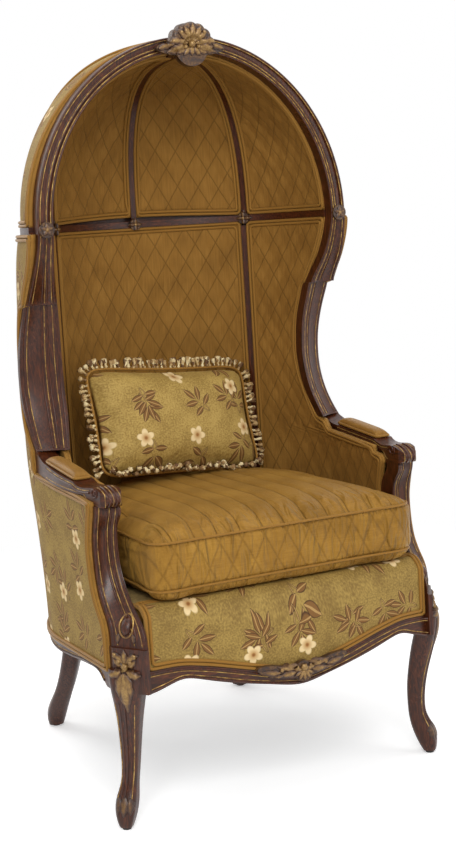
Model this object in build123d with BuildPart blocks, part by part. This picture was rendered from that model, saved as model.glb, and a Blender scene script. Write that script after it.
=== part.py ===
from build123d import *
from math import atan2, cos, hypot, pi, radians, sin, sqrt
import os

os.makedirs("parts", exist_ok=True)

# Hall porter chair: a tub seat under a domed hood, carved frame, loose cushion and pillow.
# X runs to the right seen from the front, the front looks along -Y, Z is up from the floor.

# The carved members are cut from this timber, and their shapes are shares of it
frame_stock = 80.0

# Clearances
fit_gap = 0.3  # soft cover to the wood or cover beside it
layer_gap = 1.2  # timber inside the walls to the covers on both sides
overrun = 40.0  # how far a cutting tool runs past what it cuts
centring = 17.0  # shift to the back that brings the middle of the depth over the origin

# Seat frame heights
glide_height = 5.0
rail_ledge = 318.0  # top of the visible wood strip, where the outside cover starts
rail_top = 372.0
seat_block_base = 285.0
deck_top = 452.7
arm_joint = 640.0  # top of the arm stump
wing_joint = 716.0  # arm to wing frame
scroll_break = 1020.0  # wing frame to shoulder
hood_base = 1173.0  # springing of the arch and the dome

# Tub plan: straight sides and a half circle at the back
outer_radius = 372.0
seat_inner_radius = 318.0
hood_inner_radius = 326.0
outer_centre_seat = -52.0
outer_centre_hood = -54.0
inner_centre_seat = -42.0
back_swell = 63.0  # how far the outside back bulges between seat and hood
waist_narrowing = 16.0  # how far the inside draws in at the wings
waist_setback = 26.0  # how far the inside back leans out at the wings
front_reach = -420.0
lining_thickness = 10.0
cover_thickness = 12.0

# Height up the tub, swell of the outside back, narrowing of the inside
tub_shares = (
    (0.00, 0.00, 0.00),
    (0.14, 0.12, 0.00),
    (0.30, 0.48, 0.02),
    (0.43, 0.92, 0.42),
    (0.55, 1.00, 0.90),
    (0.70, 0.94, 1.00),
    (0.85, 0.74, 0.50),
    (0.94, 0.46, 0.14),
    (1.00, 0.06, 0.00),
)

# Rear posts stand in a radial plane of the tub
post_azimuth = 46.0
post_width = 30.0
post_face_width = 12.0
post_proud = 2.0
leg_block_width = 44.0
rail_inner_radius = 336.0
rail_body_radius = 359.6
rail_strip_radius = 370.0
seam_gap = 1.0  # open seam between two outside covers

# Dome of the hood
dome_centre = -54.0
dome_back_bulge = 1.3  # added to the ellipse power at the back of the dome
dome_lining_radius = 326.0
dome_lining_rise = 347.0
dome_lining_depth = 12.0
dome_lining_crown = 10.0
dome_cover_radius = 368.0
dome_cover_rise = 376.0
dome_cover_depth = 14.0
dome_cover_crown = 9.0
dome_axis_hole = 12.0
rib_meet = -26.0  # where the planes of the side ribs cross the centre plane
rib_azimuth = 50.2
rib_width = 22.0
rib_face_width = 12.0
rib_proud = 2.5
boss_radius = 30.0

# Hood rail
hood_rail_height = 34.0
hood_rail_face = 14.0

# Arch
arch_front = -70.0
arch_depth = 28.0
arch_half_width = 360.0
arch_face = 34.0
arch_inner_rise = 351.0
arch_crown_face = 30.0

arch_rear = arch_front + arch_depth
arch_inner = arch_half_width - arch_face


def save(piece, label):
    """Name a finished piece, centre the chair over its middle and write it."""
    with BuildPart() as placed:
        add(piece.part.moved(Location((0, centring, 0))))
    placed.part.label = label
    export_step(placed.part, f"parts/{label}.step")


def save_pair(right, label):
    """Write a right-hand piece and its mirror image."""
    with BuildPart() as left:
        mirror(right.part, about=Plane.YZ)
    save(right, f"{label}_right")
    save(left, f"{label}_left")


# Tub walls


def tub_sizes(share_row):
    """Height, outer centre, inner radius and inner centre at one row of the tub table."""
    height_share, swell_share, narrow_share = share_row
    height = seat_block_base + height_share * (hood_base - seat_block_base)
    outer_centre = (
        outer_centre_seat
        + height_share * (outer_centre_hood - outer_centre_seat)
        + swell_share * back_swell
    )
    inner_radius = (
        seat_inner_radius
        + height_share * (hood_inner_radius - seat_inner_radius)
        - narrow_share * waist_narrowing
    )
    inner_centre = (
        inner_centre_seat
        + height_share * (outer_centre_hood - inner_centre_seat)
        + narrow_share * waist_setback
    )
    return height, outer_centre, inner_radius, inner_centre


def tub_plan(height, radius, centre, reach=front_reach):
    """Plan of the tub at a height: straight sides forward to reach, half circle at the back."""
    chord = radius * sqrt(0.5)
    with BuildSketch(Plane.XY.offset(height)) as plan:
        with BuildLine():
            Line((-radius, reach), (-radius, centre))
            ThreePointArc((-radius, centre), (-chord, centre + chord), (0, centre + radius))
            ThreePointArc((0, centre + radius), (chord, centre + chord), (radius, centre))
            Line((radius, centre), (radius, reach))
            Line((radius, reach), (-radius, reach))
        make_face()
    return plan.sketch


def outer_tub(inset):
    """Filled tub bounded by the outside wall, moved in by an inset."""
    with BuildPart() as tub:
        for row in tub_shares:
            height, centre, _, _ = tub_sizes(row)
            add(tub_plan(height, outer_radius - inset, centre))
        loft()
    return tub.part


def inner_tub(outset):
    """Filled tub bounded by the inside wall, moved out by an outset."""
    with BuildPart() as tub:
        for row in tub_shares:
            height, _, radius, centre = tub_sizes(row)
            add(tub_plan(height, radius + outset, centre))
        loft()
    return tub.part


def straight_tub(radius, centre, low, high, reach=front_reach):
    """Filled tub of one radius between two heights."""
    with BuildPart() as tub:
        add(tub_plan(low, radius, centre, reach))
        extrude(amount=high - low)
    return tub.part


def radial_plane(azimuth, centre, shift):
    """Vertical plane on a radius of the right side, moved sideways; it faces the front."""
    turn = radians(azimuth)
    facing = Vector(cos(turn), -sin(turn), 0)
    return Plane(origin=Vector(0, centre, 0) + facing * shift, z_dir=facing)


level = Plane.XY.offset

# Members of the front: drop below the top, outer edge (x, y), inner edge (x, y), all in shares of
# the timber, the x inwards from the outside wall and the y back from the front of the arch
shoulder_shares = (
    (0.0, 0.15, 0.0, 0.575, 0.0),
    (0.35, 0.1375, 0.05, 0.58125, 0.075),
    (0.7125, 0.1125, 0.175, 0.6, 0.2125),
    (1.175, 0.075, 0.425, 0.6625, 0.425),
    (1.5375, 0.0625, 0.7, 0.75, 0.65),
    (1.9125, 0.0375, 0.95, 0.8375, 0.85),
)
wing_shares = (
    (0.0, 0.0625, 1.25, 0.8625, 0.925),
    (0.25, 0.0625, 1.375, 0.9, 1.0),
    (0.5625, 0.0625, 1.5625, 0.9375, 1.0875),
    (0.9375, 0.0625, 1.75, 0.975, 1.1875),
    (1.4375, 0.0625, 1.925, 1.0, 1.25),
    (1.9375, 0.0625, 1.9875, 1.0125, 1.2625),
    (2.4375, 0.0625, 1.95, 1.0, 1.1875),
    (2.875, 0.0625, 1.8, 0.975, 1.05),
    (3.225, 0.0625, 1.5875, 0.925, 0.9125),
    (3.525, 0.05, 1.35, 0.8625, 0.775),
    (3.8, 0.0375, 1.075, 0.8, 0.625),
)


def member_edges(top, foot, shares):
    """Edges of a front member between two joints, as heights and places."""
    edges = []
    for drop, outer_in, outer_back, inner_in, inner_back in shares:
        edges.append(
            (
                top - drop * frame_stock,
                outer_radius - outer_in * frame_stock,
                arch_front + outer_back * frame_stock,
                outer_radius - inner_in * frame_stock,
                arch_front + inner_back * frame_stock,
            )
        )
    edges[0] = (top, *edges[0][1:])
    edges[-1] = (foot, *edges[-1][1:])
    return tuple(edges)


shoulder_edges = member_edges(hood_base, scroll_break, shoulder_shares)
wing_edges = member_edges(scroll_break, wing_joint, wing_shares)
member_depth = 28.0
member_lip = 11.0  # depth of wood that shows at the side before the cover starts
member_cove = 5.0  # hollow of the moulded face
member_bead_share = 0.16  # width of each edge bead over the width of the face
side_rebate_radius = outer_radius - cover_thickness - fit_gap


def member_section(row):
    """Section of a front member: face with two beads and a hollow, rebate for the cover."""
    height, outer_x, outer_y, inner_x, inner_y = row
    face_x = inner_x - outer_x
    face_y = inner_y - outer_y
    bead = member_bead_share
    rebate_x = side_rebate_radius
    with BuildSketch(level(height)) as section:
        with BuildLine():
            Polyline(
                (outer_x, outer_y + member_lip),
                (outer_x, outer_y),
                (outer_x + bead * face_x, outer_y + bead * face_y),
            )
            ThreePointArc(
                (outer_x + bead * face_x, outer_y + bead * face_y),
                (outer_x + face_x / 2, outer_y + face_y / 2 + member_cove),
                (inner_x - bead * face_x, inner_y - bead * face_y),
            )
            Polyline(
                (inner_x - bead * face_x, inner_y - bead * face_y),
                (inner_x, inner_y),
                (inner_x, inner_y + member_depth),
                (rebate_x, outer_y + member_depth),
                (rebate_x, outer_y + member_lip),
                (outer_x, outer_y + member_lip),
            )
        make_face()
    return section.sketch


def member_shadow(row):
    """Everything in front of a member's back, out past both of its sides."""
    height, outer_x, outer_y, inner_x, inner_y = row
    rebate_x = side_rebate_radius
    with BuildSketch(level(height)) as shadow:
        with BuildLine():
            Polyline(
                (seat_inner_radius / 2, front_reach - overrun),
                (seat_inner_radius / 2, inner_y + member_depth + fit_gap),
                (inner_x, inner_y + member_depth + fit_gap),
                (rebate_x, outer_y + member_depth + fit_gap),
                (rebate_x, outer_y + member_lip + fit_gap),
                (outer_radius + overrun, outer_y + member_lip + fit_gap),
                (outer_radius + overrun, front_reach - overrun),
                close=True,
            )
        make_face()
    return shadow.sketch


def member(rows, section):
    """Loft one section function along the rows of an edge table."""
    with BuildPart() as body:
        for row in rows:
            add(section(row))
        loft()
    return body.part


wing_shadow = member(wing_edges, member_shadow)
shoulder_shadow = member(shoulder_edges, member_shadow)

with BuildPart() as wing_frame:
    add(member(wing_edges, member_section))
save_pair(wing_frame, "wing_frame")

with BuildPart() as wing_shoulder:
    add(member(shoulder_edges, member_section))
save_pair(wing_shoulder, "wing_shoulder")

# Arch, two bent halves that meet under the crest
arch_bead = 6.0
arch_cove = 4.0
with BuildPart() as hood_arch:
    with BuildSketch(Plane.XZ.offset(-arch_front)) as arch_ring:
        with Locations((0, hood_base)):
            Ellipse(arch_half_width, arch_inner_rise + arch_crown_face)
            Ellipse(arch_inner, arch_inner_rise, mode=Mode.SUBTRACT)
        with Locations((arch_half_width, hood_base)):
            Rectangle(
                arch_half_width,
                arch_half_width + overrun,
                align=(Align.MAX, Align.MIN),
                mode=Mode.INTERSECT,
            )
    extrude(amount=-arch_depth)
    with BuildSketch(Plane.XZ.offset(-arch_front)) as arch_hollow:
        with Locations((0, hood_base)):
            Ellipse(
                arch_half_width - arch_bead, arch_inner_rise + arch_crown_face - arch_bead
            )
            Ellipse(arch_inner + arch_bead, arch_inner_rise + arch_bead, mode=Mode.SUBTRACT)
    extrude(amount=-arch_cove, mode=Mode.SUBTRACT)
save_pair(hood_arch, "hood_arch")

# Crest: a fan of petals over a leaf, carved in front of the arch
crest_low = 1512.0
crest_top = 1581.0
crest_thickness = 26.0
crest_leaf_half_width = 78.0
crest_leaf_half_height = 16.0
crest_leaf_thickness = 14.0
petal_radius = 16.0
petal_count = 7
petal_spread = 150.0
petal_round = 9.0
crest_root = crest_low + crest_leaf_half_height
crest_fan_radius = crest_top - crest_root - petal_radius
crest_plane = Plane.XZ.offset(-arch_front)
with BuildPart() as petal:
    with Locations(crest_plane):
        Cylinder(petal_radius, crest_thickness, align=(Align.CENTER, Align.CENTER, Align.MIN))
    fillet(edges().sort_by(Axis.Y)[0], petal_round)
with BuildPart() as crest_carving:
    with BuildSketch(crest_plane):
        with Locations((0, crest_root)):
            Ellipse(crest_leaf_half_width, crest_leaf_half_height)
    extrude(amount=crest_leaf_thickness)
    with BuildSketch(crest_plane):
        with Locations((0, crest_root)):
            Circle(crest_fan_radius)
    extrude(amount=crest_thickness - petal_round)
    for step in range(petal_count):
        turn = radians(90 - petal_spread / 2 + petal_spread * step / (petal_count - 1))
        add(
            petal.part.moved(
                Location(
                    (
                        crest_fan_radius * cos(turn),
                        0,
                        crest_root + crest_fan_radius * sin(turn),
                    )
                )
            )
        )
save(crest_carving, "crest_carving")

# Dome of the hood


def dome_power(azimuth):
    """Power of the dome's meridian: an ellipse at the arch, fuller towards the back."""
    return 2 + dome_back_bulge * cos(azimuth) ** 2


def dome_height(x, y, radius, rise):
    """Height of a dome surface over a point of the plan."""
    reach = hypot(x, y - dome_centre)
    power = dome_power(atan2(x, y - dome_centre))
    return hood_base + rise * max(0.0, 1 - (reach / radius) ** power) ** (1 / power)


# Steps up a meridian, as shares of a quarter turn
meridian_shares = (0.0, 0.12, 0.26, 0.42, 0.58, 0.74, 0.88)
dome_step = 30
quarter_turn = 90
dome_azimuths = range(0, quarter_turn + 1, dome_step)


def dome_section(azimuth, radius, rise):
    """Filled half section of the dome in one vertical plane through its axis."""
    turn = radians(azimuth)
    power = dome_power(turn)
    points = [
        (radius * cos(pi / 2 * share) ** (2 / power), rise * sin(pi / 2 * share) ** (2 / power))
        for share in meridian_shares
    ]
    hole = dome_axis_hole
    points.append((hole, rise * (1 - (hole / radius) ** power) ** (1 / power)))
    plane = Plane(
        origin=(0, dome_centre, hood_base),
        x_dir=(sin(turn), cos(turn), 0),
        z_dir=(cos(turn), -sin(turn), 0),
    )
    with BuildSketch(plane) as section:
        with BuildLine():
            Spline(*points, tangents=((0, 1), (-1, 0)))
            Polyline(points[-1], (hole, 0), (radius, 0))
        make_face()
    return section.sketch


def dome(radius, rise):
    """Right half of the filled dome, opened along its axis and cut at the arch."""
    with BuildPart() as body:
        for azimuth in dome_azimuths:
            add(dome_section(azimuth, radius, rise))
        loft()
        split(bisect_by=Plane(origin=(0, arch_rear + fit_gap, 0), z_dir=(0, 1, 0)))
    return body.part


lining_back_radius = dome_lining_radius + dome_lining_depth
lining_back_rise = dome_lining_rise + dome_lining_crown
cover_back_radius = dome_cover_radius - dome_cover_depth
cover_back_rise = dome_cover_rise - dome_cover_crown

rib_plane = radial_plane(rib_azimuth, rib_meet, 0)


def gore_blank(radius, rise, back_radius, back_rise):
    """Right half of one layer of the dome, clear of the boss and the hood rail."""
    base = hood_base + hood_rail_face / 2 + fit_gap
    outer_body = dome(max(radius, back_radius), max(rise, back_rise))
    inner_body = dome(min(radius, back_radius), min(rise, back_rise))
    with BuildPart() as blank:
        add(outer_body)
        add(inner_body, mode=Mode.SUBTRACT)
        split(bisect_by=level(base))
        with Locations((0, arch_rear, hood_base)):
            Cylinder(
                boss_radius + fit_gap,
                dome_cover_rise + overrun,
                align=(Align.CENTER, Align.CENTER, Align.MIN),
                mode=Mode.SUBTRACT,
            )
    return blank.part


lining_blank = gore_blank(
    dome_lining_radius, dome_lining_rise, lining_back_radius, lining_back_rise
)
cover_blank = gore_blank(
    dome_cover_radius, dome_cover_rise, cover_back_radius, cover_back_rise
)


def split_gores(blank, half_face, label):
    """Cut a layer of the dome at the ribs into an outer and an inner gore."""
    front_cut = Plane(origin=rib_plane.origin + rib_plane.z_dir * half_face, z_dir=rib_plane.z_dir)
    back_cut = Plane(
        origin=rib_plane.origin - rib_plane.z_dir * half_face, z_dir=-rib_plane.z_dir
    )
    with BuildPart() as outer_gore:
        add(blank)
        split(bisect_by=front_cut)
    with BuildPart() as inner_gore:
        add(blank)
        split(bisect_by=back_cut)
        split(bisect_by=Plane.YZ.offset(half_face))
    save_pair(outer_gore, f"{label}_outer")
    save_pair(inner_gore, f"{label}_inner")


split_gores(lining_blank, rib_face_width / 2 + fit_gap, "hood_lining")
split_gores(cover_blank, seam_gap / 2, "hood_cover")

# Ribs of the hood: a body between the two layers and a face strip between the linings
rib_shares = (1.0, 0.985, 0.945, 0.88, 0.79, 0.68, 0.55, 0.41, 0.27)


def rib_curve(azimuth, meet, radius, rise):
    """Points of a dome surface in the rib's own plane, from the hood rail to the boss."""
    turn = radians(azimuth)
    offset = meet - dome_centre
    longest = -offset * cos(turn) + sqrt(radius**2 - (offset * sin(turn)) ** 2)
    points = []
    for share in rib_shares:
        along = longest * share
        x = along * sin(turn)
        y = meet + along * cos(turn)
        points.append((along, dome_height(x, y, radius, rise)))
    along = boss_radius + arch_rear - meet
    points.append((along, dome_height(along * sin(turn), meet + along * cos(turn), radius, rise)))
    return points


def rib_band(plane, azimuth, meet, low, high):
    """Closed band between two dome surfaces in a rib's plane."""
    low_points = rib_curve(azimuth, meet, *low)
    high_points = rib_curve(azimuth, meet, *high)
    with BuildSketch(plane) as band:
        with BuildLine():
            Spline(*low_points, tangents=((0, 1), (-1, 0)))
            Line(low_points[-1], high_points[-1])
            Spline(*high_points, tangents=((0, 1), (-1, 0)))
            Line(high_points[0], low_points[0])
        make_face()
    return band.sketch


rib_face_low = (dome_lining_radius - rib_proud, dome_lining_rise - rib_proud)
rib_body_low = (lining_back_radius + layer_gap * 2, lining_back_rise + layer_gap)
rib_clearance = (4 * layer_gap, 3 * layer_gap)
rib_body_high = (cover_back_radius - rib_clearance[0], cover_back_rise - rib_clearance[1])
rib_body_middle = tuple((low + high) / 2 for low, high in zip(rib_body_low, rib_body_high))


def hood_rib(azimuth, meet):
    """One rib in the vertical plane of its azimuth."""
    turn = radians(azimuth)
    plane = Plane(
        origin=(0, meet, 0), x_dir=(sin(turn), cos(turn), 0), z_dir=(cos(turn), -sin(turn), 0)
    )
    face_plane = plane.offset(-rib_face_width / 2)
    body_plane = plane.offset(-rib_width / 2)
    with BuildPart() as rib:
        add(rib_band(face_plane, azimuth, meet, rib_face_low, rib_body_middle))
        extrude(amount=rib_face_width, dir=plane.z_dir)
        add(rib_band(body_plane, azimuth, meet, rib_body_low, rib_body_high))
        extrude(amount=rib_width, dir=plane.z_dir)
        add(hood_rail_solid, mode=Mode.SUBTRACT)
        split(bisect_by=Plane(origin=(0, arch_rear, 0), z_dir=(0, 1, 0)))
        with Locations((0, arch_rear, hood_base)):
            Cylinder(
                boss_radius,
                dome_cover_rise + overrun,
                align=(Align.CENTER, Align.CENTER, Align.MIN),
                mode=Mode.SUBTRACT,
            )
    return rib


# Hood rail: a visible strip between the covers and a wider body inside the wall
rail_low = hood_base - hood_rail_face / 2
rail_high = hood_base + hood_rail_face / 2
hood_rail_inner = dome_lining_radius - rib_proud
hood_rail_outer = outer_radius - post_proud
rail_body_low = hood_base - hood_rail_height / 2
rail_body_high = hood_base + hood_rail_height / 2
rail_front = Plane(origin=(0, arch_rear, 0), z_dir=(0, 1, 0))


def ring(inner, outer, centre, low, high):
    """Tub-shaped ring between two radii and two heights."""
    with BuildPart() as band:
        add(straight_tub(outer, centre, low, high))
        add(straight_tub(inner, centre, low, high, front_reach - overrun), mode=Mode.SUBTRACT)
    return band.part


with BuildPart() as hood_rail:
    add(ring(hood_rail_inner, hood_rail_outer, dome_centre, rail_low, rail_high))
    add(ring(rib_body_low[0], rib_body_high[0], dome_centre, rail_body_low, rail_body_high))
    split(bisect_by=rail_front)
    add(wing_shoulder.part, mode=Mode.SUBTRACT)
    add(wing_shoulder.part.mirror(Plane.YZ), mode=Mode.SUBTRACT)
save(hood_rail, "hood_rail")
hood_rail_solid = hood_rail.part

with BuildPart() as hood_rib_centre:
    add(hood_rib(0, rib_meet).part)
save(hood_rib_centre, "hood_rib_centre")
with BuildPart() as hood_rib_side:
    add(hood_rib(rib_azimuth, rib_meet).part)
    add(hood_rib_centre.part, mode=Mode.SUBTRACT)
save_pair(hood_rib_side, "hood_rib")

# Block behind the crest that takes the three ribs
boss_low = hood_base + dome_lining_rise - rib_proud
boss_high = hood_base + dome_cover_rise
with BuildPart() as hood_boss:
    with Locations((0, arch_rear, boss_low)):
        Cylinder(
            boss_radius, boss_high - boss_low, align=(Align.CENTER, Align.CENTER, Align.MIN)
        )
    split(bisect_by=rail_front)
save(hood_boss, "hood_boss")

# Walls of the tub

outer_wall = outer_tub(0)
cover_back_wall = outer_tub(cover_thickness)
timber_back_wall = outer_tub(cover_thickness + layer_gap)
timber_front_wall = inner_tub(lining_thickness + layer_gap)
lining_back_wall = inner_tub(lining_thickness)
lining_front_wall = inner_tub(0)
face_front_wall = inner_tub(-post_proud)
wall_top = rail_low - fit_gap
lining_lift = 5.0
lining_foot = rail_top + lining_lift
post_front = radial_plane(post_azimuth, outer_centre_seat, 0)


def shifted(plane, shift, flip=False):
    """A plane moved along its own normal, facing back if flipped."""
    facing = -plane.z_dir if flip else plane.z_dir
    return Plane(origin=plane.origin + plane.z_dir * shift, z_dir=facing)


def across(plane):
    """The same plane on the left side."""
    return Plane(
        origin=(-plane.origin.X, plane.origin.Y, plane.origin.Z),
        z_dir=(-plane.z_dir.X, plane.z_dir.Y, plane.z_dir.Z),
    )


with BuildPart() as cover_layer:
    add(outer_wall)
    add(cover_back_wall, mode=Mode.SUBTRACT)
    split(bisect_by=level(rail_ledge + fit_gap))
    split(bisect_by=level(wall_top), keep=Keep.BOTTOM)
with BuildPart() as lining_layer:
    add(lining_back_wall)
    add(lining_front_wall, mode=Mode.SUBTRACT)
    split(bisect_by=level(lining_foot))
    split(bisect_by=level(wall_top), keep=Keep.BOTTOM)
with BuildPart() as timber_layer:
    add(timber_back_wall)
    add(timber_front_wall, mode=Mode.SUBTRACT)
    split(bisect_by=level(rail_top))
    split(bisect_by=level(rail_body_low), keep=Keep.BOTTOM)

# Side view of the arm and its stump, as points (y, z)
arm_back = 62.0
arm_pad_back = -30.0
arm_pad_front = -196.0
arm_top_back = 698.0
arm_top_front = 680.0
hand_front = -322.0
hand_height = 672.0
hand_low = 646.0
arm_under_back = 670.0
arm_under_front = 656.0
arm_under_knee = -244.0
arm_under_start = -215.0
hand_heel = -252.0
hand_crown = -300.0
hand_foot = -309.0
hand_nose_rise = 10.0
arm_neck_y = -258.0
arm_neck_height = 674.0
arm_knee_dip = 4.0
arm_dip_y = 2.0
arm_dip_height = 708.0
arm_dip_way_share = (-0.6, -0.8)
wing_foot_x = wing_edges[-1][1]
wing_foot_y = wing_edges[-1][2]
arm_lip = wing_foot_y + member_lip
with BuildSketch(Plane.YZ) as arm_side:
    with BuildLine():
        Line((arm_back, wing_joint), (wing_foot_y, wing_joint))
        Spline(
            (wing_foot_y, wing_joint),
            (arm_dip_y, arm_dip_height),
            (arm_pad_back, arm_top_back),
            tangents=(
                arm_dip_way_share,
                (arm_pad_front - arm_pad_back, arm_top_front - arm_top_back),
            ),
        )
        Line((arm_pad_back, arm_top_back), (arm_pad_front, arm_top_front))
        Spline(
            (arm_pad_front, arm_top_front),
            (arm_neck_y, arm_neck_height),
            (hand_crown, hand_height),
            (hand_front, hand_low + hand_nose_rise),
            (hand_foot, arm_joint),
        )
        Line((hand_foot, arm_joint), (hand_heel, arm_joint))
        Spline(
            (hand_heel, arm_joint),
            (arm_under_knee, arm_under_front - arm_knee_dip),
            (arm_under_start, arm_under_front),
        )
        Line((arm_under_start, arm_under_front), (arm_back, arm_under_back))
        Line((arm_back, arm_under_back), (arm_back, wing_joint))
    make_face()
arm_inner = 328.5
stump_inner = 320.0
hand_inner = 318.0
hand_outer = 362.0
hand_nose_inner = 328.0
hand_nose_outer = 350.0
hand_nose_proud = 2.0
hand_nose_front = hand_front - hand_nose_proud
hand_inner_round = 16.0
hand_outer_round = 18.0
hand_neck = -262.0
# Outside of the arm from the hand to the wing: shares of the timber out and forward of the wing
arm_outer_shares = ((0.025, 3.0125), (0.125, 1.6625), (0.05, 0.6125))
arm_outer_points = [
    (wing_foot_x + out * frame_stock, wing_foot_y - forward * frame_stock)
    for out, forward in arm_outer_shares
]
with BuildSketch(Plane.XY) as arm_plan:
    with BuildLine():
        Line((arm_inner, arm_back), (arm_inner, arm_under_start))
        Spline(
            (arm_inner, arm_under_start),
            (stump_inner, hand_neck),
            (hand_inner, hand_front + hand_inner_round),
        )
        Polyline(
            (hand_inner, hand_front + hand_inner_round),
            (hand_nose_inner, hand_nose_front),
            (hand_nose_outer, hand_nose_front),
            (hand_outer, hand_front + hand_outer_round),
        )
        Spline(
            (hand_outer, hand_front + hand_outer_round),
            *arm_outer_points,
            (wing_foot_x, wing_foot_y),
        )
        Polyline(
            (wing_foot_x, wing_foot_y),
            (wing_foot_x, arm_lip),
            (side_rebate_radius, arm_lip),
            (side_rebate_radius, arm_back),
        )
        Line((side_rebate_radius, arm_back), (arm_inner, arm_back))
    make_face()
arm_tail_low = arm_under_back
arm_tail_high = 700.0
with BuildPart() as arm_board:
    add(arm_plan.sketch)
    extrude(amount=hood_base, dir=(0, 0, 1))
with BuildPart() as arm_tail:
    add(timber_layer.part)
    split(bisect_by=level(arm_tail_low))
    split(bisect_by=level(arm_tail_high), keep=Keep.BOTTOM)
    split(bisect_by=Plane(origin=(0, arm_back, 0), z_dir=(0, 1, 0)))
    split(bisect_by=shifted(post_front, post_width / 2))
    split(bisect_by=Plane.YZ)
with BuildPart() as arm_cover_room:
    add(outer_wall)
    add(timber_back_wall, mode=Mode.SUBTRACT)
    split(bisect_by=Plane(origin=(0, arm_lip, 0), z_dir=(0, 1, 0)))
    split(bisect_by=level(arm_joint))
    split(bisect_by=level(wing_joint + overrun), keep=Keep.BOTTOM)
with BuildPart() as arm:
    add(arm_side.sketch)
    extrude(amount=outer_radius + overrun, dir=(1, 0, 0))
    add(arm_board.part, mode=Mode.INTERSECT)
    add(arm_cover_room.part, mode=Mode.SUBTRACT)
    add(arm_tail.part)
save_pair(arm, "arm")

# Arm pads
pad_height = 17.0
pad_inset = 7.0
pad_round = 7.0
pad_inner = 334.0
pad_outer = 370.0
pad_bed = 1.0  # the pad is let into the back of the arm by this
with BuildSketch(Plane.YZ.offset(pad_inner)) as pad_side:
    with BuildLine():
        Polyline(
            (arm_pad_back - pad_inset, arm_top_back - pad_bed + fit_gap),
            (arm_pad_front, arm_top_front + fit_gap),
            (arm_pad_front, arm_top_front + pad_height),
            (arm_pad_back - pad_inset, arm_top_back + pad_height),
            close=True,
        )
    make_face()
with BuildPart() as arm_pad:
    add(pad_side.sketch)
    extrude(amount=pad_outer - pad_inner, dir=(1, 0, 0))
    fillet(edges().group_by(Axis.Z)[-1] + edges().filter_by(Axis.Z), pad_round)
save_pair(arm_pad, "arm_pad")

# Arm stumps: height over the seat frame, inner and outer front edge, in shares of the timber
stump_outer = 367.0
stump_foot = -392.0
stump_shares = (
    (0.0, 0.0, 0.875),
    (0.25, 0.0625, 0.8875),
    (0.575, 0.275, 1.0),
    (0.875, 0.675, 1.2375),
    (1.1875, 1.0, 1.425),
    (1.525, 1.2625, 1.525),
    (1.9, 1.4125, 1.575),
    (2.35, 1.4625, 1.5875),
    (2.85, 1.3625, 1.475),
    (3.35, 1.1875, 1.325),
)
stump_edges = tuple(
    (
        arm_joint if step == len(stump_shares) - 1 else rail_top + rise * frame_stock,
        stump_foot + inner_share * frame_stock,
        stump_foot + outer_share * frame_stock,
    )
    for step, (rise, inner_share, outer_share) in enumerate(stump_shares)
)
stump_depth_inner = 46.0
stump_depth_outer = 36.0
stump_lip = 9.0


def stump_section(row):
    """Section of a stump: moulded diagonal face, rebate for the cover outside."""
    height, inner_y, outer_y = row
    bead = member_bead_share
    width = stump_outer - stump_inner
    slant = outer_y - inner_y
    with BuildSketch(level(height)) as section:
        with BuildLine():
            Line((stump_inner, inner_y), (stump_inner + bead * width, inner_y + bead * slant))
            ThreePointArc(
                (stump_inner + bead * width, inner_y + bead * slant),
                (stump_inner + width / 2, inner_y + slant / 2 + member_cove),
                (stump_outer - bead * width, outer_y - bead * slant),
            )
            Polyline(
                (stump_outer - bead * width, outer_y - bead * slant),
                (stump_outer, outer_y),
                (stump_outer, outer_y + stump_lip),
                (side_rebate_radius, outer_y + stump_lip),
                (side_rebate_radius, outer_y + stump_depth_outer),
                (stump_inner, inner_y + stump_depth_inner),
                (stump_inner, inner_y),
            )
        make_face()
    return section.sketch


with BuildPart() as arm_stump:
    add(member(stump_edges, stump_section))
save_pair(arm_stump, "arm_stump")

# Front legs: a knee block in the corner of the seat frame over a cabriole leg
leg_back = -284.0
knee_corner = 8.0  # flat on each side of the knee's moulded face
knee_proud = 2.0  # the knee over the stump that stands on it
knee_inner_back = -340.0
knee_side = stump_edges[0][2] + stump_lip
with BuildPart() as knee_block:
    with BuildSketch(level(seat_block_base)):
        with BuildLine():
            Polyline(
                (stump_inner, stump_foot),
                (stump_inner + knee_corner, stump_foot - knee_proud),
                (stump_outer + knee_proud, stump_edges[0][2] - knee_corner),
                (stump_outer + knee_proud, knee_side),
                (side_rebate_radius, knee_side),
                (side_rebate_radius, leg_back),
                (stump_inner, knee_inner_back),
                close=True,
            )
        make_face()
    extrude(amount=rail_top - seat_block_base)

# Legs: height, shift of the centre (x, y) from the knee, width across the face and depth in shares
# of the timber, then the turn of the face in degrees
glide_share = glide_height / frame_stock
knee_centre = (346.0, -344.0)
cabriole_shares = (
    (4.125, 0.0, 0.0, 0.925, 0.475, 54.0),
    (3.75, 0.0, 0.0125, 0.9, 0.55, 52.0),
    (3.4, -0.025, 0.0875, 0.775, 0.575, 50.0),
    (3.0, -0.0625, 0.2, 0.65, 0.5625, 48.0),
    (2.5, -0.1, 0.3375, 0.55, 0.5125, 46.0),
    (1.9375, -0.125, 0.4625, 0.475, 0.4625, 45.0),
    (1.4, -0.1125, 0.525, 0.425, 0.425, 45.0),
    (1.05, -0.0625, 0.5375, 0.4375, 0.45, 45.0),
    (0.725, 0.0375, 0.4875, 0.525, 0.5375, 45.0),
    (0.425, 0.1125, 0.425, 0.5, 0.525, 45.0),
    (0.2, 0.15, 0.3875, 0.4, 0.425, 45.0),
    (glide_share, 0.1625, 0.375, 0.3, 0.3125, 45.0),
)
back_leg_centre = (250.0, 190.0)
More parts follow.
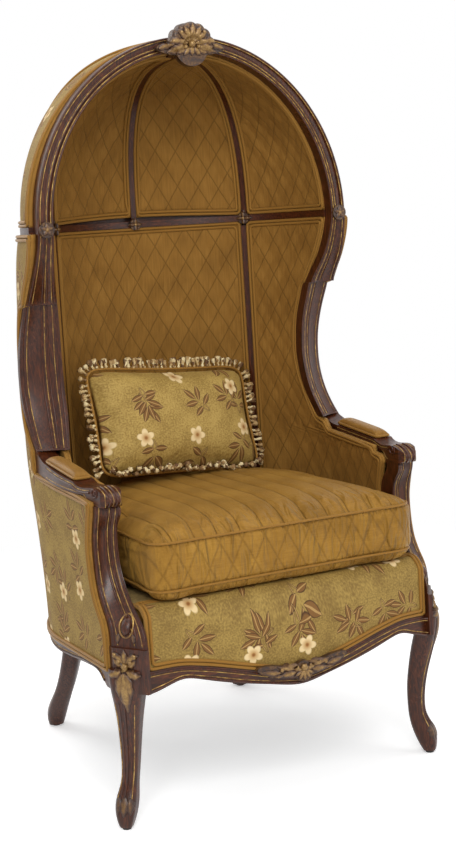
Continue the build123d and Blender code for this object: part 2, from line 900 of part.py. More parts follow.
back_leg_shares = (
    (3.5625, 0.0, 0.0, 0.55, 0.55, 46.0),
    (3.125, 0.0125, 0.1, 0.5375, 0.5375, 44.0),
    (2.5, 0.0125, 0.4, 0.525, 0.525, 40.0),
    (1.875, 0.0, 0.825, 0.5125, 0.525, 34.0),
    (1.3125, -0.0125, 1.3, 0.525, 0.55, 28.0),
    (0.75, -0.0125, 1.825, 0.575, 0.625, 22.0),
    (0.5, -0.0125, 2.025, 0.575, 0.625, 20.0),
    (glide_share, -0.0125, 2.2, 0.425, 0.45, 18.0),
)


def leg_sections(centre, shares):
    """Sections of a leg as height, centre, width, depth and turn."""
    return tuple(
        (
            height * frame_stock,
            centre[0] + right * frame_stock,
            centre[1] + back * frame_stock,
            width * frame_stock,
            depth * frame_stock,
            turn,
        )
        for height, right, back, width, depth, turn in shares
    )


cabriole_sections = leg_sections(knee_centre, cabriole_shares)
back_leg_sections = leg_sections(back_leg_centre, back_leg_shares)
leg_round_share = 0.34


def leg_section(row):
    """Rounded square section of a leg."""
    height, x, y, width, depth, turn = row
    corner = min(width, depth) * leg_round_share
    with BuildSketch(Plane(origin=(x, y, height))) as section:
        RectangleRounded(width, depth, corner, rotation=turn)
    return section.sketch


def leg_loft(rows):
    """Loft the sections of a leg."""
    with BuildPart() as body:
        for row in rows:
            add(leg_section(row))
        loft()
    return body.part


with BuildPart() as front_leg:
    add(leg_loft(cabriole_sections))
    add(knee_block.part)
save_pair(front_leg, "front_leg")

# Rear legs: a block in the seat frame on the line of the rear post
half_block = leg_block_width / 2
with BuildPart() as rail_ring:
    add(ring(rail_inner_radius, rail_strip_radius, outer_centre_seat, seat_block_base, rail_ledge))
    add(ring(rail_inner_radius, rail_body_radius, outer_centre_seat, rail_ledge, rail_top))
with BuildPart() as back_block:
    add(rail_ring.part)
    split(bisect_by=shifted(post_front, -half_block))
    split(bisect_by=shifted(post_front, half_block, flip=True))
    split(bisect_by=Plane.YZ)
with BuildPart() as back_leg:
    add(leg_loft(back_leg_sections))
    add(back_block.part)
save_pair(back_leg, "back_leg")

# Glides under the feet
glide_radius = 9.0
front_foot = cabriole_sections[-1][1:3]
back_foot = back_leg_sections[-1][1:3]
with BuildPart() as leg_glides:
    for x, y in (front_foot, back_foot):
        for side in (-1, 1):
            with Locations((side * x, y, 0)):
                Cylinder(
                    glide_radius, glide_height, align=(Align.CENTER, Align.CENTER, Align.MIN)
                )
save(leg_glides, "leg_glides")

# Seat rails: a visible strip with a shaped lower edge and a body behind the covers
# Lower edge: place back from the knee and drop below the ledge, in shares of the timber
side_rail_shares = (
    (0.175, 0.4125),
    (0.6875, 0.4),
    (1.025, 0.1875),
    (1.65, 0.1125),
    (2.975, 0.2),
    (3.9125, 0.25),
    (5.05, 0.2375),
    (6.05, 0.225),
    (8.8, 0.225),
)
side_rail_low_points = tuple(
    (knee_centre[1] + back * frame_stock, rail_ledge - drop * frame_stock)
    for back, drop in side_rail_shares
)
with BuildSketch(Plane.YZ.offset(-outer_radius - overrun)) as rail_scoop:
    with BuildLine():
        Spline(*side_rail_low_points)
        Polyline(
            side_rail_low_points[-1],
            (side_rail_low_points[-1][0], 0),
            (side_rail_low_points[0][0], 0),
            side_rail_low_points[0],
        )
    make_face()
with BuildPart() as rail_under:
    add(rail_scoop.sketch)
    extrude(amount=2 * (outer_radius + overrun), dir=(1, 0, 0))
rail_front_end = Plane(origin=(0, knee_inner_back, 0), z_dir=(0, 1, 0))
with BuildPart() as side_rail:
    add(rail_ring.part)
    add(rail_under.part, mode=Mode.SUBTRACT)
    split(bisect_by=rail_front_end)
    split(bisect_by=Plane.YZ)
    split(bisect_by=shifted(post_front, half_block))
    add(front_leg.part, mode=Mode.SUBTRACT)
save_pair(side_rail, "side_rail")
with BuildPart() as back_rail:
    add(rail_ring.part)
    add(rail_under.part, mode=Mode.SUBTRACT)
    split(bisect_by=shifted(post_front, -half_block, flip=True))
    split(bisect_by=across(shifted(post_front, -half_block, flip=True)))
save(back_rail, "back_rail")

# Front rail: bowed in plan, serpentine in front view
rail_bow_end = -380.0
rail_bow_middle = -406.0
rail_strip_depth = 44.0
rail_body_setback = 34.0
rail_body_depth = 28.0
# Edges of the front rail: share of the half width, rise over the middle in shares of the timber
front_low_middle = 247.0
front_low_shares = (
    (1.0, 0.425),
    (0.9, 0.5375),
    (0.78125, 0.675),
    (0.653125, 0.575),
    (0.38125, 0.2875),
    (0.178125, 0.1125),
    (0.0, 0.0),
)
front_high_middle = 272.0
front_high_shares = (
    (1.0, 0.6625),
    (0.9, 0.6875),
    (0.78125, 0.6875),
    (0.653125, 0.6),
    (0.38125, 0.325),
    (0.178125, 0.1125),
    (0.0, 0.0),
)


def rail_edge(middle, shares):
    """Right half of a shaped edge of the front rail, as points (x, z)."""
    return tuple(
        (width * stump_inner, middle + rise * frame_stock) for width, rise in shares
    )


front_low_points = rail_edge(front_low_middle, front_low_shares)
front_high_points = rail_edge(front_high_middle, front_high_shares)


board_reach = 5 * overrun


def bow_plan(setback, depth):
    """Plan of a bowed band behind the front of the seat rail."""
    front_end = rail_bow_end + setback
    front_middle = rail_bow_middle + setback
    with BuildSketch(Plane.XY) as plan:
        with BuildLine():
            ThreePointArc((-stump_inner, front_end), (0, front_middle), (stump_inner, front_end))
            Line((stump_inner, front_end), (stump_inner, front_end + depth))
            ThreePointArc(
                (stump_inner, front_end + depth),
                (0, front_middle + depth),
                (-stump_inner, front_end + depth),
            )
            Line((-stump_inner, front_end + depth), (-stump_inner, front_end))
        make_face()
    with BuildPart() as band:
        add(plan.sketch)
        extrude(amount=hood_base, dir=(0, 0, 1))
    return band.part


def both_sides(points):
    """A right half outline with its mirror image, from right to left."""
    return [*points, *[(-x, z) for x, z in reversed(points[:-1])]]


def front_view(low_points, high_points):
    """Board seen from the front between two shaped edges."""
    low = both_sides(low_points)
    high = both_sides(high_points)
    with BuildSketch(Plane.XZ.offset(-rail_bow_end - overrun * 3)) as view:
        with BuildLine():
            if len(low) > 2:
                Spline(*low)
            else:
                Line(*low)
            Line(low[-1], high[-1])
            if len(high) > 2:
                Spline(*high)
            else:
                Line(*high)
            Line(high[0], low[0])
        make_face()
    with BuildPart() as board:
        add(view.sketch)
        extrude(amount=board_reach, dir=(0, -1, 0))
    return board.part


rail_body_end = 300.0
rail_body_middle = 285.0
front_body_points = ((stump_inner, rail_body_end), (0.0, rail_body_middle))
front_body_top = ((stump_inner, rail_top), (0.0, rail_top))
with BuildPart() as front_rail_body:
    add(front_view(front_body_points, front_body_top))
    add(bow_plan(rail_body_setback, rail_body_depth), mode=Mode.INTERSECT)
with BuildPart() as front_rail:
    add(front_view(front_low_points, front_high_points))
    add(bow_plan(0, rail_strip_depth), mode=Mode.INTERSECT)
    add(front_rail_body.part)
    add(front_leg.part, mode=Mode.SUBTRACT)
    add(front_leg.part.mirror(Plane.YZ), mode=Mode.SUBTRACT)
save(front_rail, "front_rail")

# Carving in the middle of the front rail: a shell between two sprays
carving_middle = 276.0
carving_shell_radius = 21.0
carving_spray = (52.0, 12.0)
carving_spray_rise = 7.0
carving_spray_turn = 14.0
carving_proud = 12.0
with BuildPart() as carving_blank:
    with BuildSketch(Plane.XZ.offset(-rail_bow_middle - carving_proud)):
        with Locations((0, carving_middle)):
            Circle(carving_shell_radius)
        for side in (-1, 1):
            with Locations((side * carving_spray[0], carving_middle + carving_spray_rise)):
                Ellipse(*carving_spray, rotation=side * carving_spray_turn)
    extrude(amount=2 * carving_proud)
with BuildPart() as rail_carving:
    add(carving_blank.part)
    add(bow_plan(-carving_proud, carving_proud), mode=Mode.INTERSECT)
save(rail_carving, "rail_carving")

# Front border: padded roll over the front rail
border_face = 410.0
border_crown = 449.0
border_back = -330.0
border_cut_low = 240.0  # under the lowest point of the border
border_swell = 22.0
border_nose = 20.0
border_shoulder = (8.0, 4.0)  # forward of the rail, over the face
border_turn = (16.0, 6.0)  # behind the front of the rail, under the crown
border_low_points = tuple((x, z + fit_gap) for x, z in front_high_points)
border_high = ((stump_inner, border_crown), (0.0, border_crown))
with BuildSketch(Plane.YZ.offset(-outer_radius)) as border_roll:
    with BuildLine():
        Polyline(
            (rail_bow_middle - overrun, border_cut_low),
            (rail_bow_middle - overrun, border_face - border_swell),
            (rail_bow_end - border_nose, border_face - border_swell),
        )
        Spline(
            (rail_bow_end - border_nose, border_face - border_swell),
            (rail_bow_end - border_shoulder[0], border_face + border_shoulder[1]),
            (rail_bow_end + border_turn[0], border_crown - border_turn[1]),
            (border_back, border_crown),
        )
        Polyline(
            (border_back, border_crown),
            (border_back, border_cut_low),
            (rail_bow_middle - overrun, border_cut_low),
        )
    make_face()
with BuildPart() as border_cut:
    add(border_roll.sketch)
    extrude(amount=2 * outer_radius, dir=(1, 0, 0))
border_inset = 3.0
strip_thickness = 1.5
deck_low = rail_top + 2 * strip_thickness
strip_step = 8.0
strip_setback = rail_body_setback + strip_step
border_depth = 130.0
with BuildPart() as border_hollow:
    add(bow_plan(rail_body_setback - fit_gap, border_depth))
    split(bisect_by=level(rail_top + fit_gap), keep=Keep.BOTTOM)
with BuildPart() as strip_room:
    add(bow_plan(strip_setback - fit_gap, border_depth))
    split(bisect_by=level(deck_low + fit_gap), keep=Keep.BOTTOM)
with BuildPart() as front_border:
    add(front_view(border_low_points, border_high))
    add(bow_plan(border_inset, border_depth), mode=Mode.INTERSECT)
    add(border_cut.part, mode=Mode.INTERSECT)
    add(border_hollow.part, mode=Mode.SUBTRACT)
    add(strip_room.part, mode=Mode.SUBTRACT)
    split(bisect_by=Plane.YZ.offset(fit_gap - stump_inner))
    split(bisect_by=Plane.YZ.offset(stump_inner - fit_gap), keep=Keep.BOTTOM)
    for blocker in (arm_stump.part, front_leg.part):
        add(blocker, mode=Mode.SUBTRACT)
        add(blocker.mirror(Plane.YZ), mode=Mode.SUBTRACT)
save(front_border, "front_border")

# Outside covers: behind the stump, under the arm and behind the wing
cover_start = stump_lip + fit_gap
cover_foot_y = stump_edges[0][2] + cover_start
cover_head_y = stump_edges[-1][2] + cover_start
cover_arm_y = arm_lip + fit_gap
arm_slope = (arm_under_back - arm_under_front) / (arm_back - arm_under_start)
with BuildSketch(Plane.YZ.offset(0)) as cover_front:
    with BuildLine():
        Polyline(
            (front_reach - overrun, rail_ledge - overrun),
            (cover_foot_y, rail_ledge - overrun),
            (cover_foot_y, stump_edges[0][0]),
        )
        Spline(
            *[(row[2] + cover_start, row[0]) for row in stump_edges[:-1]],
            (cover_head_y, arm_joint - fit_gap),
        )
        Polyline(
            (cover_head_y, arm_joint - fit_gap),
            (hand_heel + fit_gap, arm_joint - fit_gap),
            (arm_under_knee + fit_gap, arm_under_front - arm_knee_dip - fit_gap),
            (arm_under_start, arm_under_front - fit_gap),
            (cover_arm_y, arm_under_front + arm_slope * (cover_arm_y - arm_under_start) - fit_gap),
            (cover_arm_y, wing_joint),
            (front_reach - overrun, wing_joint),
            (front_reach - overrun, rail_ledge - overrun),
        )
    make_face()
with BuildPart() as cover_front_cut:
    add(cover_front.sketch)
    extrude(amount=outer_radius + overrun, dir=(1, 0, 0))
half_seam = seam_gap / 2
with BuildPart() as outer_side:
    add(cover_layer.part)
    split(bisect_by=Plane.YZ)
    split(bisect_by=shifted(post_front, half_seam))
    add(cover_front_cut.part, mode=Mode.SUBTRACT)
    add(wing_shadow, mode=Mode.SUBTRACT)
    add(shoulder_shadow, mode=Mode.SUBTRACT)
    for blocker in (wing_frame.part, wing_shoulder.part, front_leg.part, arm_stump.part):
        add(blocker, mode=Mode.SUBTRACT)
save_pair(outer_side, "outer_side")
with BuildPart() as outer_back:
    add(cover_layer.part)
    split(bisect_by=shifted(post_front, -half_seam, flip=True))
    split(bisect_by=across(shifted(post_front, -half_seam, flip=True)))
save(outer_back, "outer_back")

# Linings: inside of arm and wing, and the inside back
half_face = post_face_width / 2 + fit_gap
stump_back_share = (seat_inner_radius + lining_thickness - stump_inner) / (
    side_rebate_radius - stump_inner
)


def stump_back(row):
    """Side view point just behind the stump, where the lining passes it."""
    height, inner_y, outer_y = row
    inner_back = inner_y + stump_depth_inner
    outer_back_y = outer_y + stump_depth_outer
    back = inner_back + stump_back_share * (outer_back_y - inner_back) + 2 * layer_gap
    return max(back, border_back + fit_gap), height


lining_arm_drop = 10.0
lining_head_y = -14.0
lining_head_drop = 4.0
with BuildSketch(Plane.YZ.offset(0)) as lining_front_view:
    with BuildLine():
        Polyline(
            (front_reach - overrun, rail_ledge),
            (stump_back(stump_edges[0])[0], rail_ledge),
            stump_back(stump_edges[0]),
        )
        Spline(*[stump_back(row) for row in stump_edges])
        Polyline(
            stump_back(stump_edges[-1]),
            (arm_under_knee + layer_gap, arm_joint),
            (arm_under_start, arm_under_front - lining_arm_drop),
            (arm_under_start, arm_top_front - lining_arm_drop),
            (arm_pad_front, arm_top_front - lining_arm_drop),
            (arm_pad_back, arm_top_back - lining_arm_drop),
            (lining_head_y, wing_joint - lining_head_drop),
            (lining_head_y, wing_joint),
            (front_reach - overrun, wing_joint),
            (front_reach - overrun, rail_ledge),
        )
    make_face()
with BuildPart() as lining_front_cut:
    add(lining_front_view.sketch)
    extrude(amount=outer_radius + overrun, dir=(1, 0, 0))
with BuildPart() as wing_lining:
    add(lining_layer.part)
    split(bisect_by=Plane.YZ)
    split(bisect_by=shifted(post_front, half_face))
    add(lining_front_cut.part, mode=Mode.SUBTRACT)
    add(wing_shadow, mode=Mode.SUBTRACT)
    add(shoulder_shadow, mode=Mode.SUBTRACT)
    for blocker in (wing_frame.part, wing_shoulder.part, arm.part):
        add(blocker, mode=Mode.SUBTRACT)
save_pair(wing_lining, "wing_lining")
with BuildPart() as back_lining:
    add(lining_layer.part)
    split(bisect_by=shifted(post_front, -half_face, flip=True))
    split(bisect_by=across(shifted(post_front, -half_face, flip=True)))
save(back_lining, "back_lining")

# Rear posts: a body between the covers and a face strip between the linings
with BuildPart() as post_face:
    add(timber_back_wall)
    add(face_front_wall, mode=Mode.SUBTRACT)
    split(bisect_by=level(deck_top + layer_gap))
    split(bisect_by=level(rail_body_low), keep=Keep.BOTTOM)
    split(bisect_by=Plane.YZ)
    split(bisect_by=shifted(post_front, -post_face_width / 2))
    split(bisect_by=shifted(post_front, post_face_width / 2, flip=True))
with BuildPart() as back_post:
    add(timber_layer.part)
    split(bisect_by=Plane.YZ)
    split(bisect_by=shifted(post_front, -post_width / 2))
    split(bisect_by=shifted(post_front, post_width / 2, flip=True))
    add(post_face.part)
save_pair(back_post, "back_post")

# Deck: webbing on the rails, a pad on the webbing, a dust cloth below
strip_width = 50.0
strip_pitch = 76.0
strip_count = 7
strip_first = -258.0
strip_bearing = 14.0
strip_reach = rail_inner_radius + strip_bearing
with BuildPart() as strips_long:
    for step in range(strip_count):
        x = (step - (strip_count - 1) / 2) * strip_pitch
        rear = outer_centre_seat + sqrt(strip_reach**2 - (abs(x) + strip_width / 2) ** 2)
        with Locations((x, front_reach, rail_top)):
            Box(
                strip_width,
                rear - front_reach,
                strip_thickness,
                align=(Align.CENTER, Align.MIN, Align.MIN),
            )
    add(bow_plan(strip_setback, 2 * outer_radius + overrun), mode=Mode.INTERSECT)
with BuildPart() as strips_cross:
    for step in range(strip_count):
        y = strip_first + step * strip_pitch
        depth = max(0.0, y + strip_width / 2 - outer_centre_seat)
        half = sqrt(strip_reach**2 - depth**2)
        with Locations((0, y, rail_top + strip_thickness)):
            Box(
                2 * half,
                strip_width,
                strip_thickness,
                align=(Align.CENTER, Align.CENTER, Align.MIN),
            )
with BuildPart() as seat_webbing:
    add(strips_long.part)
    add(strips_cross.part)
    add(back_post.part, mode=Mode.SUBTRACT)
    add(back_post.part.mirror(Plane.YZ), mode=Mode.SUBTRACT)
save(seat_webbing, "seat_webbing")
with BuildPart() as deck_pad:
    add(
        straight_tub(
            seat_inner_radius - 2 * fit_gap,
            inner_centre_seat - 2 * fit_gap,
            deck_low,
            deck_top,
            border_back + fit_gap,
        )
    )
save(deck_pad, "deck_pad")
with BuildPart() as dust_cover:
    add(
        straight_tub(
            rail_inner_radius - fit_gap,
            outer_centre_seat,
            rail_ledge,
            rail_ledge + strip_thickness,
            rail_bow_end + rail_body_setback + rail_body_depth + fit_gap,
        )
    )
    for leg in (front_leg.part, back_leg.part):
        add(leg, mode=Mode.SUBTRACT)
        add(leg.mirror(Plane.YZ), mode=Mode.SUBTRACT)
save(dust_cover, "dust_cover")

# Blocks in the front corners of the seat frame, each held by two screws
block_low = 330.0
block_high = 366.0
block_leg = 80.0
block_corner_y = -330.0
screw_radius = 2.5
screw_length = 28.0
screw_head_radius = 5.0
screw_head_height = 3.0
screw_heights = (340.0, 356.0)
block_corner_x = 337.0
block_face = Vector(block_corner_x - block_leg / 2, block_corner_y + block_leg / 2, 0)
with BuildPart() as block_screw_right:
    for height in screw_heights:
        screw_plane = Plane(
            origin=block_face + Vector(0, 0, height), z_dir=Vector(1, -1, 0).normalized()
        )
        with Locations(screw_plane):
            Cylinder(screw_radius, screw_length, align=(Align.CENTER, Align.CENTER, Align.MIN))
            Cylinder(
                screw_head_radius,
                screw_head_height,
                align=(Align.CENTER, Align.CENTER, Align.MAX),
            )
with BuildPart() as block_right:
    with BuildSketch(level(block_low)):
        with BuildLine():
            Polyline(
                (block_corner_x, block_corner_y),
                (block_corner_x, block_corner_y + block_leg),
                (block_corner_x - block_leg, block_corner_y),
                close=True,
            )
        make_face()
    extrude(amount=block_high - block_low)
    for blocker in (front_rail.part, side_rail.part, front_leg.part, block_screw_right.part):
        add(blocker, mode=Mode.SUBTRACT)
with BuildPart() as corner_blocks:
    add(block_right.part)
    mirror(block_right.part, about=Plane.YZ)
save(corner_blocks, "corner_blocks")
with BuildPart() as block_screws:
    add(block_screw_right.part)
    mirror(block_screw_right.part, about=Plane.YZ)
save(block_screws, "block_screws")

# Rosettes on the joints of the arch and on the crossings of rail and ribs
rosette_radius = 16.0
rosette_depth = 7.0
rosette_small_radius = 13.0
rosette_root = 1.0  # depth that a small rosette runs into the rail
rosette_azimuths = (-46.4, 0.0, 46.4)
with BuildPart() as rosettes:
    for side in (-1, 1):
        with Locations(Plane.XZ.offset(-arch_front)):
            with Locations((side * (arch_half_width - arch_face / 2), hood_base)):
                Cylinder(
                    rosette_radius, rosette_depth, align=(Align.CENTER, Align.CENTER, Align.MIN)
                )
    for azimuth in rosette_azimuths:
        turn = radians(azimuth)
        outward = Vector(sin(turn), cos(turn), 0)
        seat = hood_rail_inner - rosette_depth
        middle = Vector(0, dome_centre, hood_base) + outward * seat
        with Locations(Plane(origin=middle, z_dir=outward)):
            Cylinder(
                rosette_small_radius,
                rosette_depth + rosette_root,
                align=(Align.CENTER, Align.CENTER, Align.MIN),
            )
    add(hood_rail_solid, mode=Mode.SUBTRACT)
    add(hood_rib_centre.part, mode=Mode.SUBTRACT)
    add(hood_rib_side.part, mode=Mode.SUBTRACT)
    add(hood_rib_side.part.mirror(Plane.YZ), mode=Mode.SUBTRACT)
save(rosettes, "rosettes")

# Seat cushion: crowned top, drawn-in sides, sewn channels from front to back
cushion_base = deck_top + fit_gap
cushion_radius = 311.0
cushion_front = -404.0
cushion_crown = 150.0
# Height as a share of the crown, inset as a share of the radius
cushion_shares = (
    (0.00, 0.085),
    (0.10, 0.030),
    (0.28, 0.004),
    (0.50, 0.000),
    (0.68, 0.012),
    (0.78, 0.040),
    (0.87, 0.110),
    (0.94, 0.230),
    (0.985, 0.420),
    (1.00, 0.640),
)
channel_depth = 2.5
channel_width = 5.0
channel_pitch = 50.0
channel_count = 9


def cushion_body(drop):
    """Filled cushion, lowered and drawn in by a drop."""
    with BuildPart() as body:
        for height_share, inset_share in cushion_shares:
            inset = inset_share * cushion_radius + drop
            height = cushion_base + height_share * cushion_crown - drop
            add(
                tub_plan(
                    max(height, cushion_base),
                    cushion_radius - inset,
                    inner_centre_seat,
                    cushion_front + inset,
                )
            )
        loft(ruled=True)
    return body.part


channel_low = cushion_base + cushion_crown / 3
with BuildPart() as channel_slabs:
    for step in range(channel_count):
        x = (step - (channel_count - 1) / 2) * channel_pitch
        with Locations((x, cushion_front - overrun, channel_low)):
            Box(
                channel_width,
                3 * cushion_radius,
                cushion_crown,
                align=(Align.CENTER, Align.MIN, Align.MIN),
            )
    add(cushion_body(channel_depth), mode=Mode.SUBTRACT)
with BuildPart() as seat_cushion:
    add(cushion_body(0))
    add(channel_slabs.part, mode=Mode.SUBTRACT)
save(seat_cushion, "seat_cushion")

# Lumbar pillow, crowned front and back, leaning into the back
pillow_width = 430.0
pillow_height = 255.0
pillow_thickness = 112.0
# Depth as a share of half the thickness, width share, height share, corner share of the height
pillow_shares = (
    (-1.00, 0.40, 0.26, 0.45),
    (-0.90, 0.66, 0.52, 0.42),
    (-0.62, 0.87, 0.80, 0.34),
    (-0.26, 0.975, 0.96, 0.22),
    (0.00, 1.00, 1.00, 0.16),
    (0.26, 0.975, 0.96, 0.22),
    (0.62, 0.87, 0.80, 0.34),
    (0.90, 0.66, 0.52, 0.42),
    (1.00, 0.40, 0.26, 0.45),
)
pillow_centre = (-4.4, 96.0, 734.1)
pillow_roll = 5.5
pillow_lean = -19.0
pillow_yaw = 11.6
with BuildPart() as pillow_upright:
    for depth_share, width_share, height_share, corner_share in pillow_shares:
        with BuildSketch(Plane.XZ.offset(depth_share * pillow_thickness / 2)):
            RectangleRounded(
                width_share * pillow_width,
                height_share * pillow_height,
                corner_share * height_share * pillow_height,
            )
    loft(ruled=True)
pillow_turned = (
    pillow_upright.part.rotate(Axis.Y, pillow_roll)
    .rotate(Axis.X, pillow_lean)
    .rotate(Axis.Z, pillow_yaw)
)
with BuildPart() as lumbar_pillow:
    add(pillow_turned.moved(Location(pillow_centre)))
save(lumbar_pillow, "lumbar_pillow")
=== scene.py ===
import math

import bmesh
import bpy
import numpy as np
from mathutils import Matrix, Vector
from mathutils.bvhtree import BVHTree


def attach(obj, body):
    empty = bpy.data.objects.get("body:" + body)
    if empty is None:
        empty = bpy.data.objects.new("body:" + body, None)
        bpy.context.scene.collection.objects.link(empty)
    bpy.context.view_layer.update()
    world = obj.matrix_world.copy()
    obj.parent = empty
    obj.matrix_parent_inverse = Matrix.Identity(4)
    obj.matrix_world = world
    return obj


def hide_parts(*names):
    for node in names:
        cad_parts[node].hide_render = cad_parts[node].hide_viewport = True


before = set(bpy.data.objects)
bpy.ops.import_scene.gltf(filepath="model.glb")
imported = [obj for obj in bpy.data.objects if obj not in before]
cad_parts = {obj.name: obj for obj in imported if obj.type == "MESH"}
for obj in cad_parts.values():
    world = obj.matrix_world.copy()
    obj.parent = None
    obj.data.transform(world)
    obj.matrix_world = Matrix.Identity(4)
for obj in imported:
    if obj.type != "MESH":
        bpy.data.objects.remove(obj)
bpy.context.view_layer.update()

# Hall porter chair. Lengths are in metres. X runs right seen from the front, the seat opens to -Y.
# The CAD part is centred over its depth, so every place in plan is moved back by centring.
centring = 0.017
scene = bpy.context.scene

# Nodes


def linear(hex_code):
    """Linear colour from an sRGB hex value."""
    parts = [int(hex_code[i : i + 2], 16) / 255 for i in (1, 3, 5)]
    return (*[c / 12.92 if c <= 0.04045 else ((c + 0.055) / 1.055) ** 2.4 for c in parts], 1.0)


def connect(tree, node, inputs):
    """Link or set a node's inputs by name or number; a text that starts with # is a colour."""
    for key, value in inputs.items():
        value = getattr(value, "socket", value)
        if isinstance(value, bpy.types.NodeSocket):
            tree.links.new(value, node.inputs[key])
        elif isinstance(value, str) and value.startswith("#"):
            node.inputs[key].default_value = linear(value)
        else:
            node.inputs[key].default_value = value


def add(tree, kind, inputs=None, output=0, stops=(), **settings):
    """Add a node with its settings and inputs, and give one of its outputs or a tuple of them."""
    node = tree.nodes.new(kind)
    for key, value in settings.items():
        setattr(node, key, value)
    for index, (place, colour) in enumerate(stops):
        elements = node.color_ramp.elements
        element = elements[index] if index < len(elements) else elements.new(place)
        element.position = place
        element.color = linear(colour)
    connect(tree, node, inputs or {})
    if isinstance(output, tuple):
        return [Value(tree, node.outputs[key]) for key in output]
    return Value(tree, node.outputs[output])


class Value:
    """Output of a node. A sum written with it adds Math nodes to its tree."""

    def __init__(self, tree, socket):
        self.tree = tree
        self.socket = socket

    def math(self, operation, other=0.0):
        return add(self.tree, "ShaderNodeMath", {0: self, 1: other}, operation=operation)

    def __add__(self, other):
        return self.math("ADD", other)

    def __sub__(self, other):
        return self.math("SUBTRACT", other)

    def __rsub__(self, other):
        return self * -1.0 + other

    def __mul__(self, other):
        return self.math("MULTIPLY", other)

    def __truediv__(self, other):
        return self.math("DIVIDE", other)

    def __abs__(self):
        return self.math("ABSOLUTE")

    def above(self, level):
        """1 where the value is over a level, otherwise 0."""
        return self.math("GREATER_THAN", level)

    def fade(self, start, end, low=0.0, high=1.0):
        """The value brought from the range start to end into low to high, and held there."""
        return add(self.tree, "ShaderNodeMapRange", {0: self, 1: start, 2: end, 3: low, 4: high})

    def mix(self, low, high):
        """Mix of two colours, with the value as the share of the second."""
        inputs = {0: self, 6: low, 7: high}
        return add(self.tree, "ShaderNodeMix", inputs, 2, data_type="RGBA")

    def ramp(self, *stops):
        """Colour for the value, from stops of place and colour."""
        return add(self.tree, "ShaderNodeValToRGB", {0: self}, stops=stops)


def highest(values):
    """Highest of some values."""
    top = values[0]
    for value in values[1:]:
        top = top.math("MAXIMUM", value)
    return top


noise = "ShaderNodeTexNoise"
mapping = "ShaderNodeMapping"
millimetres = (1000, 1000, 1000)  # scale of a pattern that is drawn in millimetres


def pattern_place(tree, scale=(1, 1, 1), source="Object"):
    """Object coordinates, or the piece's own map, at a scale."""
    coords = add(tree, "ShaderNodeTexCoord", output=source)
    return add(tree, mapping, {"Vector": coords, "Scale": scale})


def new_material(name):
    """Material and its node tree."""
    material = bpy.data.materials.new(name)
    material.use_nodes = True
    return material, material.node_tree


def coat(material, inputs, strength=0.0, depth=0.0, height=None):
    """Set a material's shader; a height is felt as a bump of some strength and depth."""
    tree = material.node_tree
    if height is not None:
        bump = {"Strength": strength, "Distance": depth, "Height": height}
        inputs["Normal"] = add(tree, "ShaderNodeBump", bump)
    connect(tree, tree.nodes["Principled BSDF"], inputs)
    return material


# Materials


def walnut(name, stretch):
    """Walnut, hand carved and shellac polished: dark red brown, soft shine, grain along the piece."""
    material, tree = new_material(name)
    place = pattern_place(tree, stretch)
    figure = {"Vector": place, "Scale": 60.0, "Detail": 6.0, "Roughness": 0.6, "Distortion": 0.6}
    grain = add(tree, noise, figure)
    pores = add(tree, noise, {"Vector": place, "Scale": 420.0, "Detail": 2.0})
    patches = add(tree, noise, {"Vector": pattern_place(tree), "Scale": 9.0, "Detail": 3.0})
    colour = grain.ramp((0.3, "#1c0b04"), (0.47, "#371708"), (0.6, "#4d240e"), (0.72, "#613115"))
    worn = patches.ramp((0.56, "#000000"), (0.8, "#6a6a6a"))
    inputs = {
        "Base Color": worn.mix(colour, "#6b3a1a"),
        "Roughness": patches.fade(0.3, 0.7, 0.26, 0.44),
        "Specular IOR Level": 0.32,
        "Coat Weight": 0.08,
        "Coat Roughness": 0.25,
    }
    return coat(material, inputs, 0.22, 0.0006, grain + pores)


def rubbed_gold(name, figure, stops, metal, dull, bump, on_ridges=False):
    """Gold rubbed over carved walnut: brown in the low places, dull warm metal where it holds."""
    material, tree = new_material(name)
    scale, detail, roughness = figure
    place = pattern_place(tree)
    spots = {"Vector": place, "Scale": scale, "Detail": detail, "Roughness": roughness}
    wear = add(tree, noise, spots)
    tone = wear
    if on_ridges:
        rise = add(tree, "ShaderNodeAttribute", output="Fac", attribute_name="rise")
        tone = rise.fade(0.0008, 0.0042) * 0.42 + wear * 0.6
    inputs = {
        "Base Color": tone.ramp(*stops),
        "Metallic": tone.fade(*metal),
        "Roughness": wear.fade(0.3, 0.7, *dull),
    }
    return coat(material, inputs, *bump, wear)


diamond_width = 48.0  # mm across one quilted diamond
diamond_height = 80.0
thread_pitch = 1.4  # mm, a satin thread drawn three times as coarse so that it shows
tapestry_pitch = 2.2  # mm, a coarse rib drawn twice as coarse so that it shows
silk_shine = {
    "Specular IOR Level": 0.38,
    "Specular Tint": "#d2a461",
    "Sheen Weight": 0.14,
    "Sheen Roughness": 0.35,
    "Sheen Tint": "#c9a566",
}


def weave(place, pitch):
    """Fine cross of threads as a height, and the parts of the place."""
    x, y, z = add(place.tree, "ShaderNodeSeparateXYZ", {0: place}, (0, 1, 2))
    turn = math.tau / pitch
    return (x * turn).math("SINE") * (y * turn).math("SINE"), x, y, z


def satin_tone(place, stretch, fine, share):
    """Slubs along the thread and soft clouds, mixed into one tone."""
    tree = place.tree
    drawn = add(tree, mapping, {"Vector": place, "Scale": stretch})
    slub = add(tree, noise, {"Vector": drawn, "Scale": 3.0, "Detail": 4.0})
    cloud = add(tree, noise, {"Vector": place, **fine})
    return slub * share + cloud * (1 - share)


